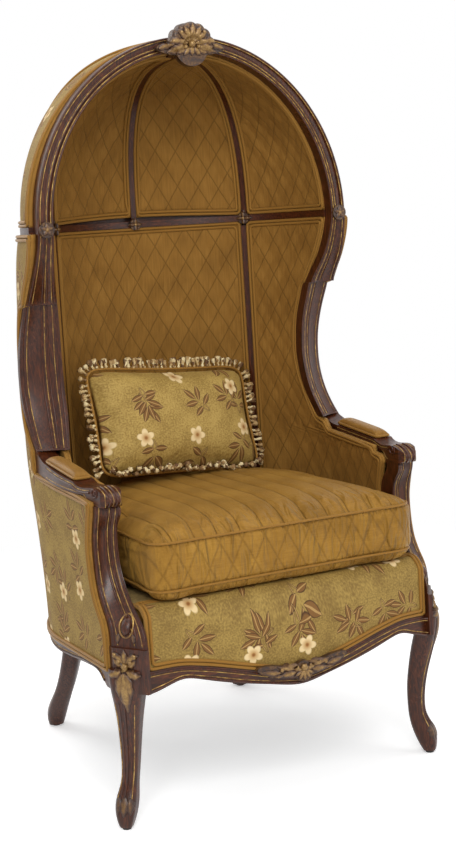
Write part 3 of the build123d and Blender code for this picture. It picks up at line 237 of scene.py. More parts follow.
def satin(name, light, middle, dark, quilted):
    """Silk satin: bronze gold with a soft sheen, paler where threads catch the light."""
    material, tree = new_material(name)
    place = pattern_place(tree, millimetres, "UV")
    threads, x, y, _ = weave(place, thread_pitch)
    tone = satin_tone(place, (0.12, 0.006, 1), {"Scale": 0.012, "Detail": 3.0}, 0.5)
    colour = tone.ramp((0.22, dark), (0.5, middle), (0.78, light))
    height = threads * 0.12
    if quilted:
        first, second = x / diamond_width, y / diamond_height
        crossing = (first + second, first - second)
        stitch_groove_shade = highest([abs(c.math("FRACT") - 0.5).fade(0.455, 0.5) for c in crossing])
        # Painted shade: the colour darkens along the quilting stitches, as in the shade of the grooves
        # between the puffs; the bump sinks the same lines
        colour = (stitch_groove_shade * 0.7).mix(colour, "#4d3415")
        height = height - stitch_groove_shade * 0.9
    inputs = {"Base Color": colour, "Roughness": 0.42, **silk_shine}
    return coat(material, inputs, 0.5, 0.0012, height)


# Leaves of one spray: foot of the leaf (x, y), angle, length, half width, in millimetres
spray_leaves = (
    ((0.0, 8.0), 90.0, 38.0, 7.0),
    ((1.0, 0.0), 38.0, 38.0, 7.2),
    ((1.0, -15.0), 6.0, 33.0, 6.6),
    ((0.5, -36.0), 74.0, 26.0, 1.7),
)
spray_pitch = 116.0
bloom_pitch = 122.0
# Shift of a layer of sprays, stretch of its pitch, and the share of its sprays that is left out
spray_layers = ((0.0, 1.0, 0.0), (431.0, 0.9, 0.5))
bloom_shift = 977.0
bloom_left_out = 0.25


def leaf_room(x, y, start, angle, length, width):
    """How far a place lies inside a pointed leaf, and how far from its rib, in millimetres."""
    cosine, sine = math.cos(math.radians(angle)), math.sin(math.radians(angle))
    dx, dy = x - start[0], y - start[1]
    share = (dx * cosine + dy * sine) / length
    side = abs(dy * cosine - dx * sine)
    bow = share * (1.0 - share) * 4.0
    return bow.math("MAXIMUM", -1.0) * width - side, side


def motif_place(place, pitch, shift):
    """Place inside its own motif, turned at random, and the motif's chance from 0 to 1."""
    tree = place.tree
    vector = "ShaderNodeVectorMath"
    shifted = add(tree, vector, {0: place, 1: (shift, shift * 0.7, 0)}, operation="ADD")
    cell = {"Vector": shifted, "Scale": 1 / pitch, "Randomness": 0.36}
    outputs = ("Position", "Color")
    centre, tint = add(tree, "ShaderNodeTexVoronoi", cell, outputs, voronoi_dimensions="2D")
    offset = add(tree, vector, {0: shifted, 1: centre}, operation="SUBTRACT")
    spin, chance = add(tree, "ShaderNodeSeparateColor", {0: tint}, (0, 1))
    turn = {"Vector": offset, "Angle": spin * math.tau}
    turned = add(tree, "ShaderNodeVectorRotate", turn, rotation_type="Z_AXIS")
    x, y = add(tree, "ShaderNodeSeparateXYZ", {0: turned}, (0, 1))
    return x, y, chance


def turned_place(tree, centre, turn):
    """Object coordinates in a turned piece's own plane, in millimetres."""
    coords = add(tree, "ShaderNodeTexCoord", output="Object")
    frame_inputs = {"Vector": coords, "Location": centre, "Rotation": turn, "Scale": (0.001,) * 3}
    own = add(tree, mapping, frame_inputs, vector_type="TEXTURE")
    x, z = add(tree, "ShaderNodeSeparateXYZ", {0: own}, (0, 2))
    return add(tree, "ShaderNodeCombineXYZ", {0: x, 1: z})


def tapestry(name, light, dark, own_frame=None):
    """Woven floral tapestry: khaki gold ground, brown leaf sprays, cream blossoms, matt."""
    material, tree = new_material(name)
    if own_frame:
        place = turned_place(tree, *own_frame)
    else:
        place = pattern_place(tree, millimetres, "UV")
    cloud = add(tree, noise, {"Vector": place, "Scale": 0.02, "Detail": 4.0})
    fleck = add(tree, noise, {"Vector": place, "Scale": 0.26, "Detail": 3.0})
    colour = (cloud * 0.4 + fleck * 0.6).ramp((0.40, dark), (0.60, light))
    raised = weave(place, tapestry_pitch)[0] * 0.15
    for shift, stretch, left_out in spray_layers:
        x, y, chance = motif_place(place, spray_pitch * stretch, shift)
        x = abs(x)
        leaves = [leaf_room(x, y, *leaf) for leaf in spray_leaves]
        cover = highest([room for room, _ in leaves])
        rib = highest([side.math("LESS_THAN", 1.0) * room.above(0.8) for room, side in leaves])
        fill = cover.fade(-0.3, 0.5) * chance.above(left_out)
        body = cover.fade(0.5, 2.2, 1.0, 0.0).mix("#745026", "#3c220d")
        colour = fill.mix(colour, (rib * 0.8).mix(body, "#b08d55"))
        raised = raised + fill * 0.4
    x, y, chance = motif_place(place, bloom_pitch, bloom_shift)
    radius = (x * x + y * y).math("SQRT")
    petals = abs((y.math("ARCTAN2", x) * 2.5).math("COSINE"))
    bloom = radius.fade(4.0, 13.0).mix("#b98f57", "#e0c796")
    bloom = radius.fade(2.0, 5.0, 1.0, 0.0).mix(bloom, "#8a5a2b")
    fill = (petals * 9.0 + 12.0 - radius).fade(-1.0, 2.0) * chance.above(bloom_left_out)
    inputs = {
        "Base Color": (fill * 0.95).mix(colour, bloom),
        "Roughness": 0.72,
        "Specular IOR Level": 0.3,
        "Sheen Weight": 0.1,
        "Sheen Tint": "#c9a566",
    }
    return coat(material, inputs, 0.5, 0.0009, raised + fill * 0.5)


def plain_cloth(name, light, dark, pitch):
    """Plain woven cloth, matt, with its threads showing."""
    material, tree = new_material(name)
    place = pattern_place(tree, millimetres)
    cloud = add(tree, noise, {"Vector": place, "Scale": 0.08, "Detail": 4.0})
    inputs = {"Base Color": cloud.ramp((0.35, dark), (0.65, light)), "Roughness": 0.85}
    return coat(material, inputs, 0.4, 0.0006, weave(place, pitch)[0])


def grained(name, scale, detail, stops, inputs, stretch=(1, 1, 1)):
    """Plain material with a faint grain in its colour."""
    material, tree = new_material(name)
    place = pattern_place(tree, stretch)
    grain = add(tree, noise, {"Vector": place, "Scale": scale, "Detail": detail})
    return coat(material, {"Base Color": grain.ramp(*stops), **inputs})


def raw_beech():
    """Sawn beech, unfinished: pale, dull, with a faint grain."""
    stops = ((0.35, "#a98456"), (0.65, "#cda878"))
    return grained("raw_beech", 40.0, 5.0, stops, {"Roughness": 0.7}, (1, 6, 6))


def screw_steel():
    """Zinc plated steel screw: grey metal with a fine brushed shine."""
    stops = ((0.3, "#8c8c8c"), (0.7, "#b9b9b6"))
    return grained("zinc_screw", 900.0, 3.0, stops, {"Metallic": 1.0, "Roughness": 0.35})


def black_nylon():
    """Moulded nylon glide: black, dull, with a faint grain."""
    stops = ((0.3, "#15120f"), (0.7, "#262019"))
    return grained("moulded_nylon", 500.0, 2.0, stops, {"Roughness": 0.5})


def fringe_cotton():
    """Twisted cotton tassels: cream, tan and brown threads, matt."""
    material, tree = new_material("fringe_cotton")
    place = pattern_place(tree, millimetres)
    cell = {"Vector": place, "Scale": 0.13, "Randomness": 1.0}
    tint = add(tree, "ShaderNodeTexVoronoi", cell, "Color")
    shade = add(tree, "ShaderNodeSeparateColor", {0: tint})
    stops = ((0.15, "#5d3f22"), (0.4, "#8e6c40"), (0.62, "#b99c69"), (0.9, "#d9c79a"))
    strands = add(tree, noise, {"Vector": place, "Scale": 0.9, "Detail": 3.0})
    return coat(material, {"Base Color": shade.ramp(*stops), "Roughness": 0.8}, 0.6, 0.0008, strands)


cushion_seam = 0.566
channel_pitch = 0.050


def cushion_cloth():
    """Bronze silk satin sewn in channels on top, drawn into small folds at the seams."""
    material, tree = new_material("channelled_satin")
    place = pattern_place(tree, millimetres)
    threads, x, y, z = weave(place, thread_pitch)
    tone = satin_tone(place, (0.01, 0.12, 0.12), {"Scale": 0.01, "Detail": 2.0}, 0.3)
    colour = tone.ramp((0.24, "#70501f"), (0.5, "#90692d"), (0.76, "#ac823a"))
    # Channels and cross stitches on the upper face, quilted diamonds on the boxing, sunk by the bump
    # and darkened in colour as painted shade in their grooves
    up = z.fade(565.0, 570.0)
    boxing = 1.0 - up
    across = x / 50.0
    line = abs((across + 100.5).math("FRACT") - 0.5).fade(0.0, 0.035, 1.0, 0.0)
    cross = abs((y / 62.0 + 100.0).math("FRACT") - 0.5).fade(0.0, 0.02, 0.3, 0.0)
    stitch_groove_shade = highest([line, cross]) * up
    waves = [abs((v * math.pi).math("SINE")) for v in (across + z / 92.0, across - z / 92.0)]
    quilt_groove_shade = highest([wave.fade(0.0, 0.25, 1.0, 0.0) for wave in waves]) * boxing * 0.45
    dark = (stitch_groove_shade * 0.8 + quilt_groove_shade).math("MINIMUM", 1.0)
    # Folds on the boxing and just behind the front seam
    drawn = add(tree, mapping, {"Vector": place, "Scale": (0.055, 0.02, 0.012)})
    figure = {"Vector": drawn, "Scale": 1.0, "Detail": 1.0, "Roughness": 0.5, "Distortion": 1.0}
    where = (boxing + y.fade(-340.0, -250.0, 1.0, 0.0)).math("MINIMUM", 1.0)
    folds = add(tree, noise, figure) * where
    # Painted shade: the colour darkens along the channel, cross-stitch and quilting lines
    inputs = {"Base Color": (dark * 0.75).mix(colour, "#4a3113"), "Roughness": 0.4, **silk_shine}
    return coat(material, inputs, 0.9, 0.0016, folds * 14.0 - dark * 1.6 + threads * 0.1)


upright_walnut = walnut("walnut_upright_grain", (5, 5, 0.6))
level_walnut = walnut("walnut_level_grain", (5, 0.6, 5))
cross_walnut = walnut("walnut_cross_grain", (0.6, 5, 5))
gold_line = rubbed_gold(
    "gold_rubbed_edge",
    (70.0, 5.0, 0.65),
    ((0.32, "#3b2415"), (0.45, "#7d5a2c"), (0.58, "#a98748"), (0.75, "#c9a968")),
    (0.35, 0.6, 0.1, 0.6),
    (0.6, 0.38),
    (0.3, 0.0005),
)
gold_carving = rubbed_gold(
    "gold_rubbed_carving",
    (130.0, 6.0, 0.7),
    ((0.36, "#1f110a"), (0.5, "#3c2413"), (0.6, "#5f4222"), (0.75, "#86683a")),
    (0.4, 0.65, 0.0, 0.2),
    (0.45, 0.45),
    (0.4, 0.0008),
)
gold_relief = rubbed_gold(
    "gold_on_carved_ridges",
    (160.0, 5.0, 0.7),
    ((0.28, "#1f0f07"), (0.48, "#472a14"), (0.66, "#74552b"), (0.85, "#a38450")),
    (0.5, 0.85, 0.0, 0.5),
    (0.42, 0.42),
    (0.3, 0.0005),
    True,
)
quilted_satin = satin("quilted_satin", "#9c7338", "#86602c", "#674721", True)
welt_satin = satin("welt_satin", "#a0773a", "#89632e", "#6b4a22", False)
floral_tapestry = tapestry("floral_tapestry", "#9c8142", "#775d2b")
deck_cloth = plain_cloth("deck_cloth", "#8b7340", "#6d5930", 2.0)

# Mesh helpers

tiny = 1e-9
grid_counts = {"steps": 120, "gore_rows": 100, "gore_cols": 52, "border_rows": 48}


def linked(name, data):
    """New object with some data in the scene."""
    piece = bpy.data.objects.new(name, data)
    scene.collection.objects.link(piece)
    return piece


def new_piece(name, points, faces, material, shift=True, smooth=True):
    """Mesh object from points and faces; plan places are moved back by centring."""
    mesh = bpy.data.meshes.new(name)
    places = np.array(points, float)
    if shift:
        places = places + np.array((0.0, centring, 0.0))
    mesh.from_pydata(places.tolist(), [], faces)
    mesh.materials.append(material)
    mesh.polygons.foreach_set("use_smooth", [smooth] * len(mesh.polygons))
    mesh.update()
    return linked(name, mesh)


def face_outwards(piece, merged=0.00002):
    """Merge doubles and turn every face outwards."""
    work = bmesh.new()
    work.from_mesh(piece.data)
    if merged:
        bmesh.ops.remove_doubles(work, verts=work.verts, dist=merged)
    bmesh.ops.recalc_face_normals(work, faces=work.faces)
    work.to_mesh(piece.data)
    work.free()
    return piece


def mirrored(piece, name):
    """Mirror image of a finished piece across the middle of the chair."""
    mesh = piece.data.copy()
    mesh.transform(Matrix.Diagonal((-1, 1, 1, 1)))
    mesh.flip_normals()
    return linked(name, mesh)


def declare(piece, body="chair"):
    """Let a piece ride on a body."""
    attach(piece, body)
    return piece


def dress(piece, node, slot, fill, body="chair"):
    """Let a soft piece stand for its CAD node."""
    declare(piece, body)
    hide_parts(node)


def both(right, name, node, slot, fill):
    """Dress a right-hand piece and its mirror image."""
    left = mirrored(right, f"{name}_left")
    right.name = f"{name}_right"
    dress(right, f"{node}_right", slot, fill)
    dress(left, f"{node}_left", slot, fill)


def declare_pair(right):
    """Declare a right-hand piece and its mirror image."""
    for piece in (right, mirrored(right, right.name.replace("_right", "_left"))):
        declare(piece)


def smooth_table(rows, place):
    """Cubic reading of a table of numbers at a place in its first column."""
    table = np.array(sorted(rows, key=lambda row: row[0]), float)
    keys = table[:, 0]
    slopes = np.gradient(table, keys, axis=0)
    place = float(np.clip(place, keys[0], keys[-1]))
    index = int(np.clip(np.searchsorted(keys, place) - 1, 0, len(keys) - 2))
    span = keys[index + 1] - keys[index]
    share = (place - keys[index]) / span
    low, high = table[index], table[index + 1]
    low_slope, high_slope = slopes[index] * span, slopes[index + 1] * span
    square, cube = share**2, share**3
    low_part = low * (2 * cube - 3 * square + 1) + low_slope * (cube - 2 * square + share)
    return low_part + high * (3 * square - 2 * cube) + high_slope * (cube - square)


def resampled(path, count):
    """Closed path with evenly spaced points; count is a number or is found from the length."""
    path = np.array(path)
    closed = np.concatenate([path, path[:1]])
    lengths = np.concatenate([[0], np.cumsum(np.linalg.norm(np.diff(closed, axis=0), axis=1))])
    if callable(count):
        count = count(lengths[-1])
    places = np.linspace(0, lengths[-1], count, endpoint=False)
    columns = range(path.shape[1])
    return np.stack([np.interp(places, lengths, closed[:, k]) for k in columns], axis=1)


def smoothed(path, rounds=1):
    """Closed path with each point drawn to its neighbours."""
    for _ in range(rounds):
        path = (np.roll(path, 1, axis=0) + 2 * path + np.roll(path, -1, axis=0)) / 4
    return path


def ring_faces(base, levels, count):
    """Faces of stacked rings of equal point counts that start at a base, with both caps."""
    faces = []
    for level in range(levels - 1):
        for j in range(count):
            a = base + level * count + j
            b = base + level * count + (j + 1) % count
            faces.append((a, b, b + count, a + count))
    faces.append(tuple(base + j for j in range(count))[::-1])
    faces.append(tuple(base + (levels - 1) * count + j for j in range(count)))
    return faces


# Chair sizes, the same as in the CAD part
fit_gap = 0.0003
rail_ledge = 0.318
deck_top = 0.4527
arm_joint = 0.640
wing_joint = 0.716
scroll_break = 1.020
hood_base = 1.173
outer_radius = 0.372
outer_centre = -0.052
inner_radius = 0.318
inner_centre = -0.042
hood_centre = -0.054
seat_block_base = 0.285
cover_swell = 0.063
lining_spread = 0.008
lining_narrowing = 0.016
lining_shift = 0.026
arch_front = -0.070
arch_rear = arch_front + 0.028
post_azimuth = math.radians(46.0)
seam_gap = 0.001
face_width = 0.012
# Share of the height, narrowing of the inside and swelling of the outside
tub_shares = (
    (0.00, 0.00, 0.00),
    (0.14, 0.12, 0.00),
    (0.30, 0.48, 0.02),
    (0.43, 0.92, 0.42),
    (0.55, 1.00, 0.90),
    (0.70, 0.94, 1.00),
    (0.85, 0.74, 0.50),
    (0.94, 0.46, 0.14),
    (1.00, 0.06, 0.00),
)
# Height, outer edge (x, y), inner edge (x, y)
shoulder_edges = (
    (1.173, 0.360, -0.070, 0.326, -0.070),
    (1.145, 0.361, -0.066, 0.3255, -0.064),
    (1.116, 0.363, -0.056, 0.324, -0.053),
    (1.079, 0.366, -0.036, 0.319, -0.036),
    (1.050, 0.367, -0.014, 0.312, -0.018),
    (1.020, 0.369, 0.006, 0.305, -0.002),
)
wing_edges = (
    (1.020, 0.367, 0.030, 0.303, 0.004),
    (1.000, 0.367, 0.040, 0.300, 0.010),
    (0.975, 0.367, 0.055, 0.297, 0.017),
    (0.945, 0.367, 0.070, 0.294, 0.025),
    (0.905, 0.367, 0.084, 0.292, 0.030),
    (0.865, 0.367, 0.089, 0.291, 0.031),
    (0.825, 0.367, 0.086, 0.292, 0.025),
    (0.790, 0.367, 0.074, 0.294, 0.014),
    (0.762, 0.367, 0.057, 0.298, 0.003),
    (0.738, 0.368, 0.038, 0.303, -0.008),
    (0.716, 0.369, 0.016, 0.308, -0.020),
)
member_depth = 0.028
member_lip = 0.011
# Height, inner front edge y, outer front edge y of the arm stump
stump_edges = (
    (0.372, -0.392, -0.322),
    (0.392, -0.387, -0.321),
    (0.418, -0.370, -0.312),
    (0.442, -0.338, -0.293),
    (0.467, -0.312, -0.278),
    (0.494, -0.291, -0.270),
    (0.524, -0.279, -0.266),
    (0.560, -0.275, -0.265),
    (0.600, -0.283, -0.274),
    (0.640, -0.297, -0.286),
)
stump_inner = 0.320
stump_outer = 0.367
stump_lip = 0.009
# Front leg sections: height, centre x and y, width, depth in metres, turn in degrees
leg_table = (
    (0.330, 0.346, -0.344, 0.074, 0.038, 54),
    (0.300, 0.346, -0.343, 0.072, 0.044, 52),
    (0.272, 0.344, -0.337, 0.062, 0.046, 50),
    (0.240, 0.341, -0.328, 0.052, 0.045, 48),
    (0.200, 0.338, -0.317, 0.044, 0.041, 46),
    (0.155, 0.336, -0.307, 0.038, 0.037, 45),
    (0.112, 0.337, -0.302, 0.034, 0.034, 45),
    (0.084, 0.341, -0.301, 0.035, 0.036, 45),
    (0.058, 0.349, -0.305, 0.042, 0.043, 45),
    (0.034, 0.355, -0.310, 0.040, 0.042, 45),
)
# Depth y and height of the side rail's lower edge
side_rail_low = (
    (-0.330, 0.285),
    (-0.289, 0.286),
    (-0.262, 0.303),
    (-0.212, 0.309),
    (-0.106, 0.302),
    (-0.031, 0.298),
    (0.060, 0.299),
    (0.140, 0.300),
    (0.360, 0.300),
)
# Place x and height of the front rail's upper and lower moulding
rail_high_points = (
    (0.0, 0.272),
    (0.057, 0.281),
    (0.122, 0.298),
    (0.209, 0.320),
    (0.250, 0.327),
    (0.288, 0.327),
    (0.320, 0.325),
)
rail_low_points = (
    (0.0, 0.247),
    (0.057, 0.256),
    (0.122, 0.270),
    (0.209, 0.293),
    (0.250, 0.301),
    (0.288, 0.290),
    (0.320, 0.281),
)


def bow(x):
    """Front of the seat rail in plan."""
    return -0.380 - 0.026 * (1 - (x / stump_inner) ** 2)


def outer_plan(height):
    """Radius and centre of the outside wall at a height."""
    share = (height - seat_block_base) / (hood_base - seat_block_base)
    swell = smooth_table(tub_shares, share)[1]
    return outer_radius, outer_centre + share * (hood_centre - outer_centre) + swell * cover_swell


def inner_plan(height):
    """Radius and centre of the inside wall at a height."""
    share = (height - seat_block_base) / (hood_base - seat_block_base)
    narrow = smooth_table(tub_shares, share)[2]
    radius = inner_radius + share * lining_spread - narrow * lining_narrowing
    centre = inner_centre + share * (hood_centre - inner_centre) + narrow * lining_shift
    return radius, centre


def plan_point(plan, along):
    """Point on a tub plan; along runs from the middle of the back."""
    radius, centre = plan
    quarter = radius * math.pi / 2
    side = 1 if along >= 0 else -1
    if abs(along) <= quarter:
        turn = abs(along) / radius
        return radius * (side * math.sin(turn)), centre + radius * math.cos(turn)
    return side * radius, centre - (abs(along) - quarter)


def along_at_y(plan, y):
    """Place along the right side of a plan at a depth y."""
    radius, centre = plan
    if y <= centre:
        return radius * math.pi / 2 + centre - y
    return radius * math.acos(min(1.0, (y - centre) / radius))


def along_at_post(plan, shift):
    """Place along a plan where the post's radial plane, moved forward by shift, cuts it."""
    radius, centre = plan
    sine, cosine = math.sin(post_azimuth), math.cos(post_azimuth)
    start_x = shift * cosine
    start_y = outer_centre - shift * sine - centre
    middle = start_x * sine + start_y * cosine
    reach = -middle + math.sqrt(middle**2 - start_x**2 - start_y**2 + radius**2)
    return radius * math.atan2(start_x + reach * sine, start_y + reach * cosine)


# Padded and covered panels


def sheet_grid(rows, cols, place):
    """Grid of surface points and cloth coordinates; place(i, j) gives point and coordinates."""
    points = np.zeros((rows, cols, 3))
    cloth = np.zeros((rows, cols, 2))
    for i in range(rows):
        for j in range(cols):
            points[i, j], cloth[i, j] = place(i / (rows - 1), j / (cols - 1))
    return points, cloth


def grid_normals(points):
    """Unit normals of a grid of points."""
    normals = np.cross(np.gradient(points, axis=0), np.gradient(points, axis=1))
    lengths = np.linalg.norm(normals, axis=2, keepdims=True)
    return normals / np.maximum(lengths, tiny)


def edge_fade(points, width):
    """0 at the border of a grid of points and 1 from width inwards."""
    along = np.linalg.norm(np.diff(points, axis=1), axis=2)
    along = np.concatenate([np.zeros((len(points), 1)), np.cumsum(along, axis=1)], axis=1)
    down = np.linalg.norm(np.diff(points, axis=0), axis=2)
    down = np.concatenate([np.zeros((1, points.shape[1])), np.cumsum(down, axis=0)], axis=0)
    from_sides = np.minimum(along, along[:, -1:] - along)
    from_ends = np.minimum(down, down[-1:] - down)
    share = np.clip(np.minimum(from_sides, from_ends) / width, 0, 1)
    return share * share * (3 - 2 * share)


def quilt_height(cloth):
    """Puff of the quilted diamonds, from 0 at a stitch to 1."""
    first = cloth[..., 0] * 1000 / diamond_width
    second = cloth[..., 1] * 1000 / diamond_height
    ridge = np.abs(np.cos(math.pi * (first + second)) * np.cos(math.pi * (first - second)))
    return ridge**0.45


fade_width = 0.035


def panel(name, grid, outward, thickness, material, puff=0.0, crown=0.0):
    """Closed padded sheet on a grid and its border; outward gives the side that shows."""
    points, cloth = grid
    normals = grid_normals(points)
    if np.dot(normals[len(points) // 2, points.shape[1] // 2], outward) < 0:
        normals = -normals
    fade = edge_fade(points, fade_width)[..., None]
    height = puff * quilt_height(cloth)[..., None] * fade + crown * fade
    front = points + normals * height
    back = points - normals * thickness
    rows, cols = points.shape[:2]
    shift = rows * cols
    faces = []
    for i in range(rows - 1):
        for j in range(cols - 1):
            a, b = i * cols + j, i * cols + j + 1
            c, d = b + cols, a + cols
            faces.append((a, b, c, d))
            faces.append((a + shift, d + shift, c + shift, b + shift))
    border = list(range(cols))
    border += [i * cols + cols - 1 for i in range(1, rows)]
    border += [(rows - 1) * cols + j for j in range(cols - 2, -1, -1)]
    border += [i * cols for i in range(rows - 2, 0, -1)]
    edge_start = len(faces)
    for first, second in zip(border, border[1:] + border[:1]):
        faces.append((first, first + shift, second + shift, second))
    places = np.concatenate([front.reshape(-1, 3), back.reshape(-1, 3)])
    piece = new_piece(name, places, faces, material)
    piece.data.materials.append(welt_satin)
    for face in piece.data.polygons[edge_start:]:
        face.material_index = 1
    layer = piece.data.uv_layers.new(name="cloth")
    flat = np.concatenate([cloth.reshape(-1, 2)] * 2)
    corners = np.zeros(len(piece.data.loops), int)
    piece.data.loops.foreach_get("vertex_index", corners)
    layer.data.foreach_set("uv", flat[corners].ravel())
    face_outwards(piece)
    return piece, (points.reshape(-1, 3)[border], normals.reshape(-1, 3)[border])


welt_point_gap = 0.006


def inset_loop(border, inset, lift):
    """Closed path inside a panel's border, at an inset from it and lifted off the cloth."""
    points, normals = border
    step = np.roll(points, -1, axis=0) - np.roll(points, 1, axis=0)
    step /= np.maximum(np.linalg.norm(step, axis=1, keepdims=True), tiny)
    inward = np.cross(normals, step)
    inward /= np.maximum(np.linalg.norm(inward, axis=1, keepdims=True), tiny)
    if np.sum(inward * (points.mean(axis=0) - points)) < 0:
        inward = -inward
    moved = points + inward * inset
    away = np.linalg.norm(moved[:, None] - points[None], axis=2).min(axis=1)
    path = (moved + normals * lift)[away > inset * 0.93]
    # Even spacing, so that the corners bend and do not fold
    return smoothed(resampled(path, lambda length: max(24, int(length / welt_point_gap))))


def curve_through(paths, name, cyclic=True):
    """One poly curve object with a spline for each path."""
    data = bpy.data.curves.new(name, "CURVE")
    data.dimensions = "3D"
    for path in paths:
        spline = data.splines.new("POLY")
        spline.points.add(len(path) - 1)
        for point, place in zip(spline.points, path):
            point.co = (place[0], place[1] + centring, place[2], 1)
        spline.use_cyclic_u = cyclic
    return linked(name, data)


def new_group(name, inputs):
    """Empty Geometry Nodes tree and the values that enter it."""
    tree = bpy.data.node_groups.new(name, "GeometryNodeTree")
    face = tree.interface
    for key, kind in (("Geometry", "Geometry"), *inputs, ("Material", "Material")):
        face.new_socket(key, in_out="INPUT", socket_type=f"NodeSocket{kind}")
    face.new_socket("Geometry", in_out="OUTPUT", socket_type="NodeSocketGeometry")
    return tree, tree.nodes.new("NodeGroupInput").outputs


def close_group(tree, shape, material):
    """Make a shape real, give it its material and let it leave the tree."""
    real = add(tree, "GeometryNodeRealizeInstances", {"Geometry": shape})
    inputs = {"Geometry": real, "Material": material}
    done = add(tree, "GeometryNodeSetMaterial", inputs)
    tree.links.new(done.socket, tree.nodes.new("NodeGroupOutput").inputs[0])
    return tree


def cord_tree():
    """Geometry Nodes: sweep a round cord of a given radius along every curve."""
    tree, entry = new_group("sewn_cord", (("Radius", "Float"), ("Sides", "Int")))
    size = {"Radius": entry["Radius"], "Resolution": entry["Sides"]}
    ring = add(tree, "GeometryNodeCurvePrimitiveCircle", size)
    sweep = {"Curve": entry["Geometry"], "Profile Curve": ring, "Fill Caps": True}
    swept = add(tree, "GeometryNodeCurveToMesh", sweep)
    smooth = add(tree, "GeometryNodeSetShadeSmooth", {"Geometry": swept})
    return close_group(tree, smooth, entry["Material"])


sewn_cord = cord_tree()


def grown(start, tree, name, **values):
    """Run a Geometry Nodes tree on an object and keep the result as a plain mesh piece."""
    modifier = start.modifiers.new("grow", "NODES")
    modifier.node_group = tree
    for item in tree.interface.items_tree:
        if item.item_type == "SOCKET" and item.in_out == "INPUT" and item.name in values:
            modifier[item.identifier] = values[item.name]
    bpy.context.view_layer.update()
    graph = bpy.context.evaluated_depsgraph_get()
    mesh = bpy.data.meshes.new_from_object(start.evaluated_get(graph))
    bpy.data.objects.remove(start)
    mesh.name = name
    return linked(name, mesh)


def cord(name, paths, radius, material, cyclic=True, sides=8):
    """Round cord along paths."""
    curve = curve_through(paths, f"{name}_path", cyclic)
    return grown(curve, sewn_cord, name, Radius=radius, Sides=sides, Material=material)


welt_radius = 0.0034
welt_insets = (0.0036, 0.0108)
welt_lift = 0.55  # share of the radius by which a welt stands off the cloth


def double_welt(name, border):
    """Double welt sewn round a panel next to the wood."""
    paths = [inset_loop(border, inset, welt_radius * welt_lift) for inset in welt_insets]
    return cord(name, paths, welt_radius, welt_satin)


# Walls of the tub
lining_thickness = 0.009
cover_thickness = 0.011
quilt_puff = 0.0032
wall_top = 1.1657
half_face = face_width / 2 + fit_gap
lining_foot = 0.377
# Heights at which the linings step round the arm's hand, and the depths they reach there
hand_knee_height = 0.652
hand_under_height = 0.656
hand_top_height = 0.669
wing_foot_height = 0.688
hand_knee_depth = -0.2422
hand_depth = -0.2148
wing_foot_depth = -0.032
# Heights at which the covers step round the arm, and the depths they reach there
cover_step_low = 0.6557
cover_step_high = 0.6684
cover_step_depth = -0.215
cover_step_reach = 0.242
cover_foot_depth = 0.0273
# Room of the linings behind the arm stump, and the furthest depth forward
stump_room = 0.046
stump_slant = 0.2
stump_face_room = 0.010
stump_gap = 0.0024
lining_foremost = -0.3297
arm_joint_depth = -0.2502
hand_slant = 0.67
hand_step_slant = 6.8
hand_reach = 0.183
wing_foot_reach = 0.020


def lining_front(height):
    """Depth at which a lining of the right side starts between the seat and the wing."""
    if height < arm_joint:
        row = smooth_table(stump_edges, height)
        slant = stump_slant * (row[2] - row[1] - stump_face_room)
        return max(row[1] + stump_room + slant + stump_gap, lining_foremost)
    if height < hand_knee_height:
        return arm_joint_depth + (height - arm_joint) * hand_slant
    if height < hand_under_height:
        return hand_knee_depth + (height - hand_knee_height) * hand_step_slant
    if height < hand_top_height:
        return hand_depth
    share = (height - hand_top_height) / (wing_foot_height - hand_top_height)
    if share < 1:
        return hand_depth + share * hand_reach
    rise = (height - wing_foot_height) / (wing_joint - wing_foot_height)
    return wing_foot_depth + rise * wing_foot_reach


def cover_front(height):
    """Depth at which a cover of the right side starts between the seat and the wing."""
    if height < cover_step_low:
        return smooth_table(stump_edges, height)[2] + stump_lip + fit_gap
    share = (height - cover_step_low) / (cover_step_high - cover_step_low)
    return cover_step_depth + share * cover_step_reach if share < 1 else cover_foot_depth


def wall_front(height, outside):
    """Depth at which a wall panel of the right side starts, at a height."""
    if height < wing_joint:
        return cover_front(height) if outside else lining_front(height)
    row = smooth_table(shoulder_edges if height >= scroll_break else wing_edges, height)
    if outside:
        return row[2] + member_lip + fit_gap
    return row[4] + member_depth + fit_gap


def uneven(low, high, breaks, count):
    """Heights from low to high with rows on each break."""
    marks = [low, *breaks, high]
    heights = []
    for first, second in zip(marks, marks[1:]):
        steps = max(2, round(count * (second - first) / (high - low)))
        heights += list(np.linspace(first, second, steps, endpoint=False))
    return [*heights, high]


def wall_grid(plan, left, right, heights, cols):
    """Grid on a tub wall between two borders given as places along the plan at each height."""
    points = np.zeros((len(heights), cols, 3))
    cloth = np.zeros((len(heights), cols, 2))
    for i, height in enumerate(heights):
        level_plan = plan(height)
        low, high = left(height), right(height)
        for j in range(cols):
            along = low + (high - low) * j / (cols - 1)
            points[i, j] = (*plan_point(level_plan, along), height)
            cloth[i, j] = (along, height)
    return points, cloth


# Linings and covers of the tub: plan, gap beside a post, foot, heights with a row, cloth
hand_breaks = (arm_joint, hand_knee_height, hand_under_height, hand_top_height)
lining_shell = {
    "plan": inner_plan,
    "half": half_face,
    "foot": lining_foot,
    "breaks": (*hand_breaks, wing_foot_height, wing_joint, scroll_break),
    "cloth": (lining_thickness, quilted_satin, quilt_puff),
    "dress": ("quilted_satin", 0.3),
}
cover_shell = {
    "plan": outer_plan,
    "half": seam_gap / 2,
    "foot": rail_ledge + fit_gap,
    "breaks": (arm_joint, cover_step_low, cover_step_high, wing_joint, scroll_break),
    "cloth": (cover_thickness, floral_tapestry),
    "dress": ("tapestry", 0.2),
}


